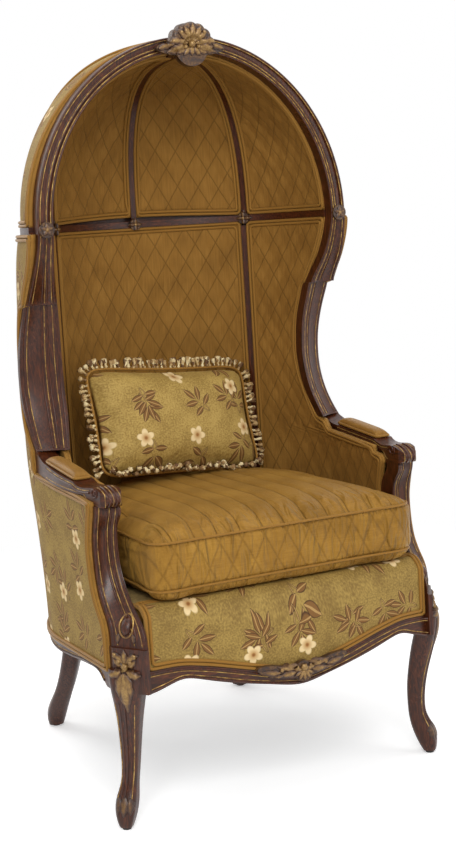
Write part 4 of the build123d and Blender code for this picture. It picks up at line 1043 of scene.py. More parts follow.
def fitted_pair(name, node, finish, made):
    """Dress a right-hand panel and its mirror image, each with its double welt."""
    piece, border = made
    both(piece, name, node, *finish)
    declare_pair(double_welt(f"{name}_welt_right", border))


def fitted(name, node, finish, made):
    """Dress a panel in the middle of the chair, with its double welt."""
    piece, border = made
    dress(piece, node, *finish)
    declare(double_welt(f"{name}_welt", border))


def build_wall(name, node, shell, side):
    """Lining or cover of the back, or of the right side and its mirror image."""
    plan, half = shell["plan"], shell["half"]
    outside = shell is cover_shell
    shown = 1 if outside else -1
    steps = grid_counts["steps"]

    def post_edge(height):
        return along_at_post(plan(height), half if side else -half)

    def far_edge(height):
        if side:
            return along_at_y(plan(height), wall_front(height, outside))
        return -post_edge(height)

    if side:
        heights = uneven(shell["foot"], wall_top, shell["breaks"], steps)
        grid = wall_grid(plan, post_edge, far_edge, heights, steps // 3 + 10)
        made = panel(f"{name}_right", grid, (shown, 0, 0), *shell["cloth"])
        fitted_pair(name, node, shell["dress"], made)
    else:
        heights = uneven(shell["foot"], wall_top, (), steps)
        grid = wall_grid(plan, far_edge, post_edge, heights, steps // 2 + 10)
        made = panel(name, grid, (0, shown, 0), *shell["cloth"])
        fitted(name, node, shell["dress"], made)


# Dome panels
lining_dome = (0.326, 0.347)
cover_dome = (0.368, 0.376)
rib_azimuth = math.radians(50.2)
rib_meet = -0.026
dome_low = 1.1803
gore_thickness = 0.012
widest_turn = 1.9
first_share, share_span, share_power = 0.004, 0.975, 0.9  # rows lie closer near the hood rail
narrowest_row = 0.004
crest_room = 0.030


def dome_place(turn, share, dome):
    """Point of a dome surface; turn runs from the back to the side, share up the meridian."""
    radius, rise = dome
    power = 2 + 1.3 * max(0.0, math.cos(turn)) ** 2
    reach = radius * math.cos(math.pi / 2 * share) ** (2 / power)
    height = rise * math.sin(math.pi / 2 * share) ** (2 / power)
    return reach * math.sin(turn), hood_centre + reach * math.cos(turn), hood_base + height


def solve(function, low, high):
    """Root of a steady function between two places."""
    start = function(low)
    for _ in range(40):
        middle = (low + high) / 2
        if (function(middle) > 0) == (start > 0):
            low = middle
        else:
            high = middle
    return (low + high) / 2


def past_rib(point, shift):
    """Distance in front of the side rib's plane, less a shift."""
    x, y = point[0], point[1] - rib_meet
    return x * math.cos(rib_azimuth) - y * math.sin(rib_azimuth) - shift


def gore_grid(dome, low_edge, high_edge, rows, cols):
    """Grid of one gore between two edge functions of a point, both rising with the turn."""
    points = []
    cloth = []
    length = 0.0
    for share in np.linspace(0.0, 1.0, rows) ** share_power:
        share = first_share + share * share_span
        left = solve(lambda turn: low_edge(dome_place(turn, share, dome)), 0.0, widest_turn)
        right = solve(lambda turn: high_edge(dome_place(turn, share, dome)), 0.0, widest_turn)
        start = np.array(dome_place(left, share, dome))
        end = np.array(dome_place(right, share, dome))
        if right <= left or np.linalg.norm(end - start) < narrowest_row:
            break
        if min(math.hypot(p[0], p[1] - arch_rear) for p in (start, end)) < crest_room:
            break
        turns = [left + (right - left) * j / (cols - 1) for j in range(cols)]
        line = np.array([dome_place(turn, share, dome) for turn in turns])
        line[:, 2] = np.maximum(line[:, 2], dome_low)
        if points:
            length += float(np.linalg.norm(line[cols // 2] - points[-1][cols // 2]))
        across = np.concatenate([[0], np.cumsum(np.linalg.norm(np.diff(line, axis=0), axis=1))])
        points.append(line)
        level = np.full(cols, hood_base + length)
        cloth.append(np.stack([across - across[cols // 2], level], axis=1))
    return np.array(points), np.array(cloth)


def build_dome():
    """Quilted gores inside the hood and floral gores outside."""
    lining = (lining_dome, half_face, lining_thickness, quilted_satin, quilt_puff)
    gore_size = (grid_counts["gore_rows"], grid_counts["gore_cols"])
    cover = (cover_dome, seam_gap / 2, gore_thickness, floral_tapestry, 0.0)
    for kind, node, slot, sign, (dome, half, thickness, material, puff) in (
        ("quilted", "hood_lining", "quilted_satin", -1, lining),
        ("floral", "hood_cover", "tapestry", 1, cover),
    ):
        edges = {
            "inner": (lambda p: p[0] - half, lambda p: past_rib(p, -half)),
            "outer": (lambda p: past_rib(p, half), lambda p: arch_rear + fit_gap - p[1]),
        }
        outward = (sign * 0.5, sign * 0.5, sign * 0.3)
        for part, (low_edge, high_edge) in edges.items():
            name = f"{kind}_gore_{part}"
            grid = gore_grid(dome, low_edge, high_edge, *gore_size)
            made = panel(f"{name}_right", grid, outward, thickness, material, puff)
            fitted_pair(name, f"{node}_{part}", (slot, 0.3), made)


build_wall("quilted_back", "back_lining", lining_shell, False)
build_wall("floral_back", "outer_back", cover_shell, False)
build_wall("quilted_wing", "wing_lining", lining_shell, True)
build_wall("floral_side", "outer_side", cover_shell, True)
build_dome()


# Loose cushion


def ring_body(name, rings, material):
    """Closed body from stacked rings of equal point counts, capped at both ends."""
    points = [place for ring in rings for place in ring]
    piece = new_piece(name, points, ring_faces(0, len(rings), len(rings[0])), material)
    return face_outwards(piece)


def bake(piece):
    """Apply every modifier of a piece."""
    graph = bpy.context.evaluated_depsgraph_get()
    mesh = bpy.data.meshes.new_from_object(piece.evaluated_get(graph))
    piece.modifiers.clear()
    piece.data = mesh


def refine(piece):
    """One subdivision, applied."""
    smooth = piece.modifiers.new("fine", "SUBSURF")
    smooth.levels = 1
    smooth.render_levels = 1
    bake(piece)


swell_steps = 20
# Size of the even mesh, and how far a point may move
cushion_swelling = (0.0075, 0.016)
pillow_swelling = (0.005, 0.007)
swell_settings = {
    "quality": 4,
    "mass": 0.3,
    "tension_stiffness": 12,
    "compression_stiffness": 12,
    "shear_stiffness": 4,
    "bending_stiffness": 0.5,
    "use_pressure": True,
    "uniform_pressure_force": 4.0,
}


def points_of(mesh):
    """Places of a mesh's points."""
    places = np.zeros(len(mesh.vertices) * 3)
    mesh.vertices.foreach_get("co", places)
    return places.reshape(-1, 3)


def inflate(piece, voxel, cap):
    """Remesh a body evenly and let cloth under pressure round it, no further than the cap."""
    remesh = piece.modifiers.new("even", "REMESH")
    remesh.mode = "VOXEL"
    remesh.voxel_size = voxel
    remesh.use_smooth_shade = True
    bake(piece)
    start = points_of(piece.data)
    cloth = piece.modifiers.new("swell", "CLOTH")
    for key, value in swell_settings.items():
        setattr(cloth.settings, key, value)
    cloth.settings.effector_weights.gravity = 0
    cloth.point_cache.frame_start = 1
    cloth.point_cache.frame_end = swell_steps
    for step in range(swell_steps):
        scene.frame_set(step + 1)
    graph = bpy.context.evaluated_depsgraph_get()
    shift = points_of(piece.evaluated_get(graph).data) - start
    length = np.linalg.norm(shift, axis=1, keepdims=True)
    shift *= cap * np.tanh(length / cap) / np.maximum(length, tiny)
    piece.modifiers.remove(cloth)
    piece.data.vertices.foreach_set("co", (start + shift).ravel())
    piece.data.update()
    scene.frame_set(1)


def shape_points(piece, change):
    """Move a piece's points with change(places, normals)."""
    places = points_of(piece.data)
    normals = np.zeros(places.size)
    piece.data.vertex_normals.foreach_get("vector", normals)
    places = change(places, normals.reshape(-1, 3))
    piece.data.vertices.foreach_set("co", places.ravel())
    piece.data.polygons.foreach_set("use_smooth", [True] * len(piece.data.polygons))
    piece.data.update()


cushion_base = deck_top + fit_gap
cushion_half = 0.309
cushion_front = -0.400
cushion_low_seam = 0.474
cushion_corner = 0.045
cushion_side = 0.004  # inset of the upright boxing
least_corner = 0.01
cushion_welt_radius = 0.0026
cushion_welt_rise = 0.002
seam_width = 0.006
# Height and inset of the cushion's sections before it swells
cushion_rings = (
    (cushion_base + 0.001, 0.030),
    (cushion_base + 0.006, 0.012),
    (cushion_low_seam, cushion_side),
    (0.50, cushion_side),
    (0.54, cushion_side),
    (cushion_seam, cushion_side),
    (cushion_seam + 0.007, 0.016),
    (cushion_seam + 0.016, 0.050),
    (cushion_seam + 0.024, 0.100),
    (cushion_seam + 0.030, 0.160),
)


def cushion_outline(inset, height, count=160):
    """Plan of the cushion at a height: tub at the back, rounded corners in front."""
    radius = cushion_half - inset
    corner = max(least_corner, cushion_corner - inset * 0.5)
    side, front = radius - corner, cushion_front + inset + corner
    path = []
    for turn in np.linspace(-math.pi / 2, math.pi / 2, 60):
        path.append((radius * math.sin(turn), inner_centre + radius * math.cos(turn)))
    for middle, start in ((side, 0.0), (-side, math.pi / 2)):
        for turn in np.linspace(start, start + math.pi / 2, 8):
            path.append((middle + corner * math.cos(turn), front - corner * math.sin(turn)))
    return [(x, y, height) for x, y in resampled(path, count)]


channel_depth = 0.0035
fold_depth = 0.0012
fold_reach = 0.05
fold_front = -0.30
fold_fade = 0.06
seam_draw = 0.003
base_gap = 0.0002
widest_side = 0.3165
bulge_front = -0.318
bulge_fade = 0.04
right_bulge = 0.017
left_bulge = 0.002


def sew(places, normals):
    """Channels, small folds and drawn seams of the cushion."""
    x = places[:, 0]
    y = places[:, 1] - centring
    z = places[:, 2]
    up = np.clip((z - cushion_seam) / seam_width, 0, 1)
    off = np.abs((x / channel_pitch + 0.5) % 1.0 - 0.5) * channel_pitch
    groove = np.exp(-((off / seam_width) ** 2)) * up * channel_depth
    # Small folds at the front seam
    folds = np.sin(x * 210 + 2.2 * np.sin(x * 47))
    folds *= np.clip(1 - np.abs(z - cushion_seam) / fold_reach, 0, 1)
    folds *= np.clip((fold_front - y) / fold_fade, 0, 1) * fold_depth
    places = places - normals * (groove - folds)[:, None]
    # Seams draw in where the boxing meets the upper and the lower face
    for seam in (cushion_seam, cushion_low_seam):
        near = np.exp(-(((z - seam) / seam_width) ** 2)) * (1 - up * 0.4)
        places = places - normals * (1, 1, 0) * (near * seam_draw)[:, None]
    places[:, 2] = np.maximum(places[:, 2], cushion_base + base_gap)
    places[:, 0] = np.clip(places[:, 0], -widest_side, widest_side)
    # In front of the arm stumps nothing holds the sides in, and the right one bulges more
    free = np.clip((bulge_front - y) / bulge_fade, 0, 1)
    free = free * np.clip(np.abs(x) / cushion_half, 0, 1) ** 6
    places[:, 0] += np.where(x > 0, right_bulge, -left_bulge) * free
    return places


def build_cushion():
    """Loose seat cushion with a boxed front, swollen by cloth, then sewn in channels."""
    rings = [cushion_outline(inset, height) for height, inset in cushion_rings]
    cushion = ring_body("seat_cushion_satin", rings, cushion_cloth())
    inflate(cushion, *cushion_swelling)
    refine(cushion)
    shape_points(cushion, sew)
    dress(cushion, "seat_cushion", "channelled_satin", 0.75, "cushion")
    corners = [vertex.co.copy() for vertex in cushion.data.vertices]
    skin = BVHTree.FromPolygons(corners, [face.vertices[:] for face in cushion.data.polygons])
    paths = []
    for seam in (cushion_seam + cushion_welt_rise, cushion_low_seam):
        path = []
        for x, y, _ in cushion_outline(cushion_side, seam, 240):
            found = skin.find_nearest(Vector((x, y + centring, seam)))[0]
            path.append((found.x, found.y - centring, seam))
        paths.append(smoothed(np.array(path), 4))
    welt = cord("seat_cushion_welt", paths, cushion_welt_radius, welt_satin)
    declare(welt, "cushion")


# Pillow
pillow_centre = Vector((-0.0105, 0.096, 0.7355))
pillow_turn = (
    Matrix.Rotation(math.radians(11.6), 3, "Z")
    @ Matrix.Rotation(math.radians(-19.0), 3, "X")
    @ Matrix.Rotation(math.radians(5.5), 3, "Y")
)
pillow_width = 0.436
pillow_height = 0.250
pillow_depth = 0.094
pillow_power = 0.24  # squareness of the outline
side_draw, end_draw = 0.045, 0.055  # shares by which the sides and the ends draw in
crease_reach = 0.09
crease_depth = 0.0012
pillow_cord_radius = 0.003
# Share of the depth from the seam, and size of the pillow's outline there
pillow_sections = ((0.08, 0.985), (0.30, 0.92), (0.58, 0.79), (0.82, 0.62), (0.95, 0.45), (1.0, 0.30))


def pillow_edge(share):
    """Point of the pillow's seam in its own plane, share from 0 to 1 round it."""
    cosine, sine = math.cos(share * math.tau), math.sin(share * math.tau)
    x = math.copysign(abs(cosine) ** pillow_power, cosine) * pillow_width / 2
    z = math.copysign(abs(sine) ** pillow_power, sine) * pillow_height / 2
    # The sides draw in between the corners
    x *= 1 - side_draw * (1 - abs(2 * z / pillow_height) ** 2)
    z *= 1 - end_draw * (1 - abs(2 * x / pillow_width) ** 2)
    return x, z


def on_pillow(x, y, z):
    """Place in the pillow's own frame brought into the chair's frame."""
    return tuple(pillow_turn @ Vector((x, y, z)) + pillow_centre)


def pillow_ring(depth, size, count):
    """Outline of the pillow at a depth from its seam, at a size."""
    edge = [pillow_edge(j / count) for j in range(count)]
    return [on_pillow(x * size, depth, z * size) for x, z in edge]


def crease(places, normals):
    """Small folds that run out of the pillow's corners."""
    middle = np.array(pillow_centre) + (0, centring, 0)
    local = (places - middle) @ np.array(pillow_turn)
    wide = np.abs(local[:, 0]) - pillow_width / 2
    high = np.abs(local[:, 2]) - pillow_height / 2
    corner = np.clip(1 - np.hypot(wide, high) / crease_reach, 0, 1)
    folds = np.sin(np.arctan2(high, wide) * 14) * corner * crease_depth
    return places + normals * folds[:, None]


def build_pillow():
    """Lumbar pillow, thin at the seam and crowned in the middle, with its cord."""
    centre = pillow_centre + Vector((0, centring, 0))
    own_frame = (centre, pillow_turn.to_euler("XYZ"))
    cloth = tapestry("floral_pillow", "#b0934f", "#8a6e34", own_frame)
    sections = [(-share, size) for share, size in reversed(pillow_sections)]
    sections += pillow_sections
    rings = [pillow_ring(share * pillow_depth / 2, size, 120) for share, size in sections]
    pillow = ring_body("lumbar_pillow_cloth", rings, cloth)
    inflate(pillow, *pillow_swelling)
    refine(pillow)
    shape_points(pillow, crease)
    dress(pillow, "lumbar_pillow", "floral_silk", 0.7, "pillow")
    seam = pillow_ring(0.0, 1.0, 200)
    declare(cord("pillow_cord", [seam], pillow_cord_radius, welt_satin), "pillow")


# Fringe of small tassels
tassel_sides = 12
tassel_neck = 0.010
# Drop from the seam and radius
tassel_profile = (
    (0.0, 0.0008),
    (0.002, 0.0024),
    (0.005, 0.0036),
    (0.008, 0.0026),
    (tassel_neck, 0.0024),
    (0.014, 0.0042),
    (0.019, 0.0054),
    (0.024, 0.0056),
    (0.0255, 0.0006),
)
fringe_pitch = 0.0112
fringe_spread = 0.35
# Way and place of the tassels on the lower edge, which rests on the cushion
low_edge_way = (0.3, -0.9, 0.05)
low_edge_size = 0.985
low_edge_depth = -0.006


def tassel_mesh():
    """One small tassel: a knot and a fluted skirt, hanging from the seam."""
    points = []
    for drop, radius in tassel_profile:
        depth = 1 if drop > tassel_neck else 0.3
        for j in range(tassel_sides):
            turn = math.tau * j / tassel_sides
            reach = radius * (1 + (0.22 if j % 2 else -0.12) * depth)
            points.append((reach * math.cos(turn), reach * math.sin(turn), drop))
    faces = ring_faces(0, len(tassel_profile), tassel_sides)
    return new_piece("tassel_pattern", points, faces, gold_line, shift=False)


def fringe_tree():
    """Geometry Nodes: hang a tassel at every point, turned to the point's own direction."""
    tree, entry = new_group("tassel_fringe", (("Tassel", "Object"), ("Spread", "Float")))
    vector, chance, sums = "FLOAT_VECTOR", "FunctionNodeRandomValue", "ShaderNodeVectorMath"
    pattern = {"Object": entry["Tassel"]}
    tassel = add(tree, "GeometryNodeObjectInfo", pattern, "Geometry")
    out = add(tree, "GeometryNodeInputNamedAttribute", {"Name": "out"}, data_type=vector)
    any_way = {0: (-1, -1, -1), 1: (1, 1, 1), "Seed": 7}
    spread = add(tree, chance, any_way, data_type=vector)
    wide = add(tree, sums, {0: spread, "Scale": entry["Spread"]}, operation="SCALE")
    lean = add(tree, sums, {0: out, 1: wide}, operation="ADD")
    aim = add(tree, "FunctionNodeAlignRotationToVector", {"Vector": lean}, axis="Z")
    size = add(tree, chance, {2: 0.82, 3: 1.08, "Seed": 3}, 1, data_type="FLOAT")
    hung = {"Points": entry["Geometry"], "Instance": tassel, "Rotation": aim, "Scale": size}
    hang = add(tree, "GeometryNodeInstanceOnPoints", hung)
    return close_group(tree, hang, entry["Material"])


def build_fringe():
    """Fringe of small tassels on the pillow's seam."""
    seam = [pillow_edge(j / 2000) for j in range(2000)]
    edge = resampled(seam, lambda length: int(length / fringe_pitch))
    points = []
    outs = []
    for index, (x, z) in enumerate(edge):
        after = edge[(index + 1) % len(edge)] - edge[index - 1]
        out = Vector((after[1], 0, -after[0])).normalized()
        if out.x * x + out.z * z < 0:
            out = -out
        # The lower edge rests on the cushion, so its tassels fold up in front
        if out.z < -0.6:
            out = Vector((out.x * low_edge_way[0], *low_edge_way[1:])).normalized()
            start = on_pillow(x * low_edge_size, low_edge_depth, z * low_edge_size)
        else:
            start = on_pillow(x, 0, z)
        points.append((start[0], start[1] + centring, start[2]))
        outs.append(pillow_turn @ out)
    mesh = bpy.data.meshes.new("fringe_points")
    mesh.from_pydata(points, [], [])
    layer = mesh.attributes.new("out", "FLOAT_VECTOR", "POINT")
    layer.data.foreach_set("vector", np.array(outs).ravel())
    tassel = tassel_mesh()
    values = {"Tassel": tassel, "Spread": fringe_spread, "Material": fringe_cotton()}
    fringe = grown(linked("fringe_points", mesh), fringe_tree(), "pillow_fringe", **values)
    bpy.data.objects.remove(tassel)
    fringe.data.polygons.foreach_set("use_smooth", [True] * len(fringe.data.polygons))
    declare(fringe, "pillow")


# Front border, arm pads, deck and webbing

# Depth y and height of the border's roll over the rail
border_roll = (
    (-0.404, 0.372),
    (-0.400, 0.388),
    (-0.388, 0.414),
    (-0.364, 0.4425),
    (-0.3305, 0.4485),
)
border_rear = -0.3305
border_gap = 0.001
border_shift = 0.003
border_thickness = 0.006
border_crown = 0.002
roll_length = 0.070


def build_border():
    """Floral front border that rolls over the seat rail."""
    half = stump_inner - border_gap

    def place(down, across):
        x = -half + 2 * half * across
        front = bow(x) + border_shift
        low = smooth_table(rail_high_points, abs(x))[1] + fit_gap
        wall = smooth_table(border_roll, front)[1] - low
        along = down * (wall + roll_length)
        if along < wall:
            return (x, front, low + along), (x, low + along)
        y = front + (border_rear - front) * (along - wall) / roll_length
        return (x, y, smooth_table(border_roll, y)[1]), (x, low + along)

    rows = grid_counts["border_rows"]
    grid = sheet_grid(rows, rows * 2, place)
    cloth = (border_thickness, floral_tapestry, 0, border_crown)
    made = panel("floral_border", grid, (0, -1, 0.3), *cloth)
    fitted("floral_border", "front_border", ("tapestry", 0.5), made)


pad_box = ((0.3345, -0.196), (0.3695, -0.037))
pad_welt_radius = 0.0032
pad_welt_lift = 0.0034
pad_thickness = 0.0035
pad_edge = 0.004
pad_crown = 0.0125
arm_top = 0.6806
arm_rise = 0.018
arm_rise_length = 0.166


def pad_base(y):
    """Height of the arm's upper face under its pad."""
    return arm_top + (y - pad_box[0][1]) / arm_rise_length * arm_rise


def build_arm_pads():
    """Padded manchette on each arm, crowned and bound by a welt."""
    (low_x, low_y), (high_x, high_y) = pad_box

    def place(down, across):
        x = low_x + (high_x - low_x) * across
        y = low_y + (high_y - low_y) * down
        side = 1 - abs(2 * across - 1) ** 3.0
        end = 1 - abs(2 * down - 1) ** 7.0
        crown = pad_edge + pad_crown * math.sqrt(max(0.0, side * end))
        return (x, y, pad_base(y) + crown), (x, y)

    grid = sheet_grid(40, 16, place)
    pad = panel("arm_pad_right_satin", grid, (0, 0, 1), pad_thickness, welt_satin)[0]
    left = mirrored(pad, "arm_pad_left_satin")
    dress(pad, "arm_pad_right", "gold_satin", 0.8)
    dress(left, "arm_pad_left", "gold_satin", 0.8)
    corners = np.array(((low_x, low_y), (high_x, low_y), (high_x, high_y), (low_x, high_y)))
    path = []
    for start, end in zip(corners, np.roll(corners, -1, axis=0)):
        for share in np.linspace(0, 1, 14, endpoint=False):
            x, y = start + (end - start) * share
            path.append((x, y, pad_base(y)))
    path = smoothed(np.array(path), 3) + (0, 0, pad_welt_lift)
    declare_pair(cord("arm_pad_right_welt", [path], pad_welt_radius, welt_satin))


sheet_gap = 0.002


def plan_sheet(radius, centre, front, height):
    """Grid of a level sheet with a half-round back."""

    def place(down, across):
        y = front + (centre + radius - sheet_gap - front) * down
        half = radius if y <= centre else math.sqrt(max(0.0, radius**2 - (y - centre) ** 2))
        x = half * (2 * across - 1)
        return (x, y, height), (x, y)

    return sheet_grid(60, 40, place)


# Radius, centre, front and height of the deck and of the dust cloth
deck_plan = (0.3165, -0.0426, -0.329, 0.4495)
dust_plan = (0.334, outer_centre, -0.312, 0.3182)
deck_thickness = 0.070
deck_crown = 0.0028
dust_thickness = 0.0008
dust_crown = 0.004
dust_area = 0.349


def declare_cloth(piece, node, area):
    """Let a stretched sheet stand for its CAD node; the size that it was cut to is not used."""
    declare(piece)
    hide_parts(node)


def build_deck():
    """Deck under the cushion and dust cloth under the seat."""
    cloth = (deck_thickness, deck_cloth, 0, deck_crown)
    deck = panel("deck_cover", plan_sheet(*deck_plan), (0, 0, 1), *cloth)[0]
    dress(deck, "deck_pad", "deck_cloth", 0.6)
    cambric = plain_cloth("black_cambric", "#2c2a28", "#1a1918", 2.0)
    cloth = (dust_thickness, cambric, 0, dust_crown)
    sheet = panel("dust_cloth", plan_sheet(*dust_plan), (0, 0, -1), *cloth)[0]
    declare_cloth(sheet, "dust_cover", dust_area)


webbing_width = 0.050
webbing_pitch = 0.076
webbing_count = 7
webbing_thickness = 0.0012
webbing_level = 0.37365
webbing_wave = 0.00080
webbing_first = -0.258
webbing_reach = 0.347
webbing_front = (-0.338, -0.352)  # at the ends and in the middle of the bowed rail
webbing_steps = 60
cross_slope, long_slope = 0.10, 0.06  # by which outer strips end further in


def webbing_span(strip, cross):
    """Middle, both ends and place of the first crossing of one strip."""
    half_width = webbing_width / 2
    first = -(webbing_count - 1) / 2 * webbing_pitch
    if cross:
        middle = webbing_first + strip * webbing_pitch
        depth = max(0.0, middle + half_width - outer_centre)
        high = math.sqrt(webbing_reach**2 - depth**2) - cross_slope * depth
        return middle, -high, high, first
    middle = first + strip * webbing_pitch
    wide = abs(middle) + half_width
    high = outer_centre + math.sqrt(webbing_reach**2 - wide**2) - long_slope * wide
    share = 1 - (wide / webbing_reach) ** 2
    low = webbing_front[0] + share * (webbing_front[1] - webbing_front[0])
    return middle, low, high, webbing_first


def build_webbing():
    """Jute strips on the seat rails, woven over and under one another."""
    places = []
    faces = []
    total = 0.0
    for cross in (False, True):
        for strip in range(webbing_count):
            middle, low, high, origin = webbing_span(strip, cross)
            total += high - low
            faces += ring_faces(len(places), webbing_steps + 1, 4)
            swing = (-1) ** (strip + cross) * webbing_wave
            for along in np.linspace(low, high, webbing_steps + 1):
                height = swing * math.cos(math.pi * (along - origin) / webbing_pitch)
                for edge, rise in ((-1, -1), (1, -1), (1, 1), (-1, 1)):
                    across = middle + edge * webbing_width / 2
                    level = webbing_level + height + rise * webbing_thickness / 2
                    places.append((along, across, level) if cross else (across, along, level))
    jute = plain_cloth("jute_webbing", "#a98d63", "#856a45", 3.0)
    webbing = new_piece("webbing", places, faces, jute, smooth=False)
    face_outwards(webbing)
    declare_cloth(webbing, "seat_webbing", webbing_width * total)


build_webbing()
build_cushion()
build_pillow()
build_fringe()
build_border()
build_arm_pads()
build_deck()


# Gilt lines, ridges and carving, laid on the solids' own surfaces


def solid_surface(*names):
    """Search tree of the surfaces of some CAD nodes."""
    places = []
    faces = []
    for name in names:
        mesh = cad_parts[name].data
        start = len(places)
        places += [vertex.co.copy() for vertex in mesh.vertices]
        faces += [[start + index for index in face.vertices] for face in mesh.polygons]
    return BVHTree.FromPolygons(places, faces)


search_room = 0.05


def touch(surface, place, inward, room=search_room):
    """Where a line from in front of a place, going inward, first meets the surface."""
    inward = Vector(inward).normalized()
    start = Vector(place) + Vector((0, centring, 0)) - inward * room
    found = surface.ray_cast(start, inward, room * 2.2)[0]
    return None if found is None else found - Vector((0, centring, 0))


longest_gap = 0.008


def laid_path(surface, spots, lift):
    """Path on the surface under spots of place and inward way, lifted towards the eye."""
    path = []
    for place, inward in spots:
        way = Vector(inward).normalized()
        found = touch(surface, place, way)
        if found is not None:
            path.append(np.array(found - way * lift))
    path = np.array(path)
    if len(path) < 4:
        return path
    # A line that jumps to another surface is kept on its longest run only
    gaps = np.linalg.norm(np.diff(path, axis=0), axis=1)
    jumps = np.nonzero(gaps > max(longest_gap, 2.5 * np.median(gaps)))[0] + 1
    breaks = [0, *jumps, len(path)]
    path = max([path[start:end] for start, end in zip(breaks, breaks[1:])], key=len)
    if len(path) > 2:
        path[1:-1] = (path[:-2] + 2 * path[1:-1] + path[2:]) / 4
    return path


def line_pair(name, paths, radius, material):
    """Fine round lines on the right side, and their mirror image."""
    paths = [path for path in paths if len(path) > 1]
    declare_pair(cord(f"{name}_right", paths, radius, material, False, 6))


def face_path(rows, share, low, high):
    """Spots along a moulded face at a share of its width."""
    spots = []
    for height in np.linspace(low, high, 60):
        row = smooth_table(rows, height)
        across = row[3:5] - row[1:3]
        spots.append(((*(row[1:3] + across * share), height), (across[1], -across[0], 0)))
    return spots


arch_outer = (0.360, 0.381)
arch_width = (0.034, 0.030)


def arch_path(share):
    """Spots along the face of the arch at a share of its width."""
    wide, high = (a - b * share for a, b in zip(arch_outer, arch_width))
    turns = np.linspace(0.0, math.pi / 2, 70)
    places = [(wide * math.cos(t), arch_front, hood_base + high * math.sin(t)) for t in turns]
    return [(place, (0, 1, 0)) for place in places]


leg_line_ends = (0.062, 0.262)


def leg_path(share):
    """Spots down the leg's face that looks outward between front and side."""
    spots = []
    for height in np.linspace(*leg_line_ends, 40):
        row = smooth_table(leg_table, height)
        sine, cosine = math.sin(math.radians(row[5])), math.cos(math.radians(row[5]))
        side, out = row[3] * share, -row[4] / 2
        x = row[1] + side * cosine - out * sine
        y = row[2] + side * sine + out * cosine
        spots.append(((x, y, height), (-sine, cosine, 0)))
    return spots


rail_reach = 0.370
rail_line_front = -0.280


def side_rail_path(rise):
    """Spots over the side rail's lower edge, round to the middle of the back."""
    spots = []
    for y in np.linspace(rail_line_front, outer_centre, 40):
        spots.append(((rail_reach, y, smooth_table(side_rail_low, y)[1] + rise), (-1, 0, 0)))
    for turn in np.linspace(0.03, math.pi / 2, 60):
        sine, cosine = math.sin(turn), math.cos(turn)
        y = outer_centre + rail_reach * sine
        place = (rail_reach * cosine, y, smooth_table(side_rail_low, y)[1] + rise)
        spots.append((place, (-cosine, -sine, 0)))
    return spots


arm_middle_x = 0.348
arm_middle_z = 0.68
arm_room = 0.09
arm_line_ends = (-0.262, -0.045)


def arm_path(surface, from_above, rise, inward):
    """Spots along the arm's side at a height from its upper or lower edge."""
    way = (0, 0, -1 if from_above else 1)
    spots = []
    for y in np.linspace(*arm_line_ends, 40):
        edge = touch(surface, (arm_middle_x, y, arm_middle_z), way, arm_room)
        if edge is not None:
            spots.append(((arm_middle_x, y, edge.z + rise), (inward, 0, 0)))
    return spots


hand_y = -0.281
hand_z = 0.664
hand_radius = 0.03
scroll_x = 0.343
scroll_radius = 0.0150
scroll_step = 0.0035  # by which each half turn of the spiral comes in
scroll_rise = 0.003


def hand_path(x):
    """Spots that wrap the front of the arm's hand, as on a fluted column."""
    turns = np.linspace(math.radians(75), math.radians(215), 40)
    ways = [(math.cos(turn), math.sin(turn)) for turn in turns]
    places = [(x, hand_y + y * hand_radius, hand_z + z * hand_radius) for y, z in ways]
    return [(place, (0, -y, -z)) for place, (y, z) in zip(places, ways)]


def scroll_path(side):
    """Spots of the spiral on one side of the arm's hand."""
    spots = []
    for turn in np.linspace(0.0, 3.4 * math.pi, 70):
        reach = scroll_radius - scroll_step * turn / math.pi
        y = hand_y + reach * math.cos(turn)
        z = hand_z + scroll_rise + reach * math.sin(turn)
        spots.append(((scroll_x, y, z), (-side, 0, 0)))
    return spots


gilt_radius = 0.0011
ridge_radius = 0.0024
ridge_sink = -0.001
scroll_lift = 0.0004
wing_line_gap = 0.004
shoulder_line_gap = 0.002
stump_line_gap = 0.001
stump_line_foot = 0.376
front_line_end = 0.330
# Kind of line, share of the face's width, lift
moulded_lines = [("gilt", share, 0.0) for share in (0.17, 0.60, 0.83)]
moulded_lines += [("ridge", share, ridge_sink) for share in (0.07, 0.52, 0.68, 0.93)]
leg_lines = (
    ("gilt", -0.36, 0.0),
    ("gilt", 0.36, 0.0),
    ("ridge", 0.0, 0.0),
    ("ridge", -0.2, ridge_sink),
    ("ridge", 0.2, ridge_sink),
)
# Kind of line, edge of the front rail, rise over it, lift
front_rail_lines = (
    ("ridge", rail_low_points, 0.0030, 0.0),
    ("gilt", rail_low_points, 0.0075, 0.0),
    ("ridge", rail_high_points, -0.0060, -0.0006),
    ("gilt", rail_high_points, -0.0100, 0.0),
)
# Kind of line, from the upper edge or the lower one, rise over it
arm_lines = (("gilt", True, -0.005), ("gilt", False, 0.005), ("ridge", True, -0.0095))
# Kind of line and its place x on the hand
hand_lines = (("gilt", 0.3255), ("ridge", 0.333), ("gilt", 0.3405), ("ridge", 0.348), ("gilt", 0.3555))


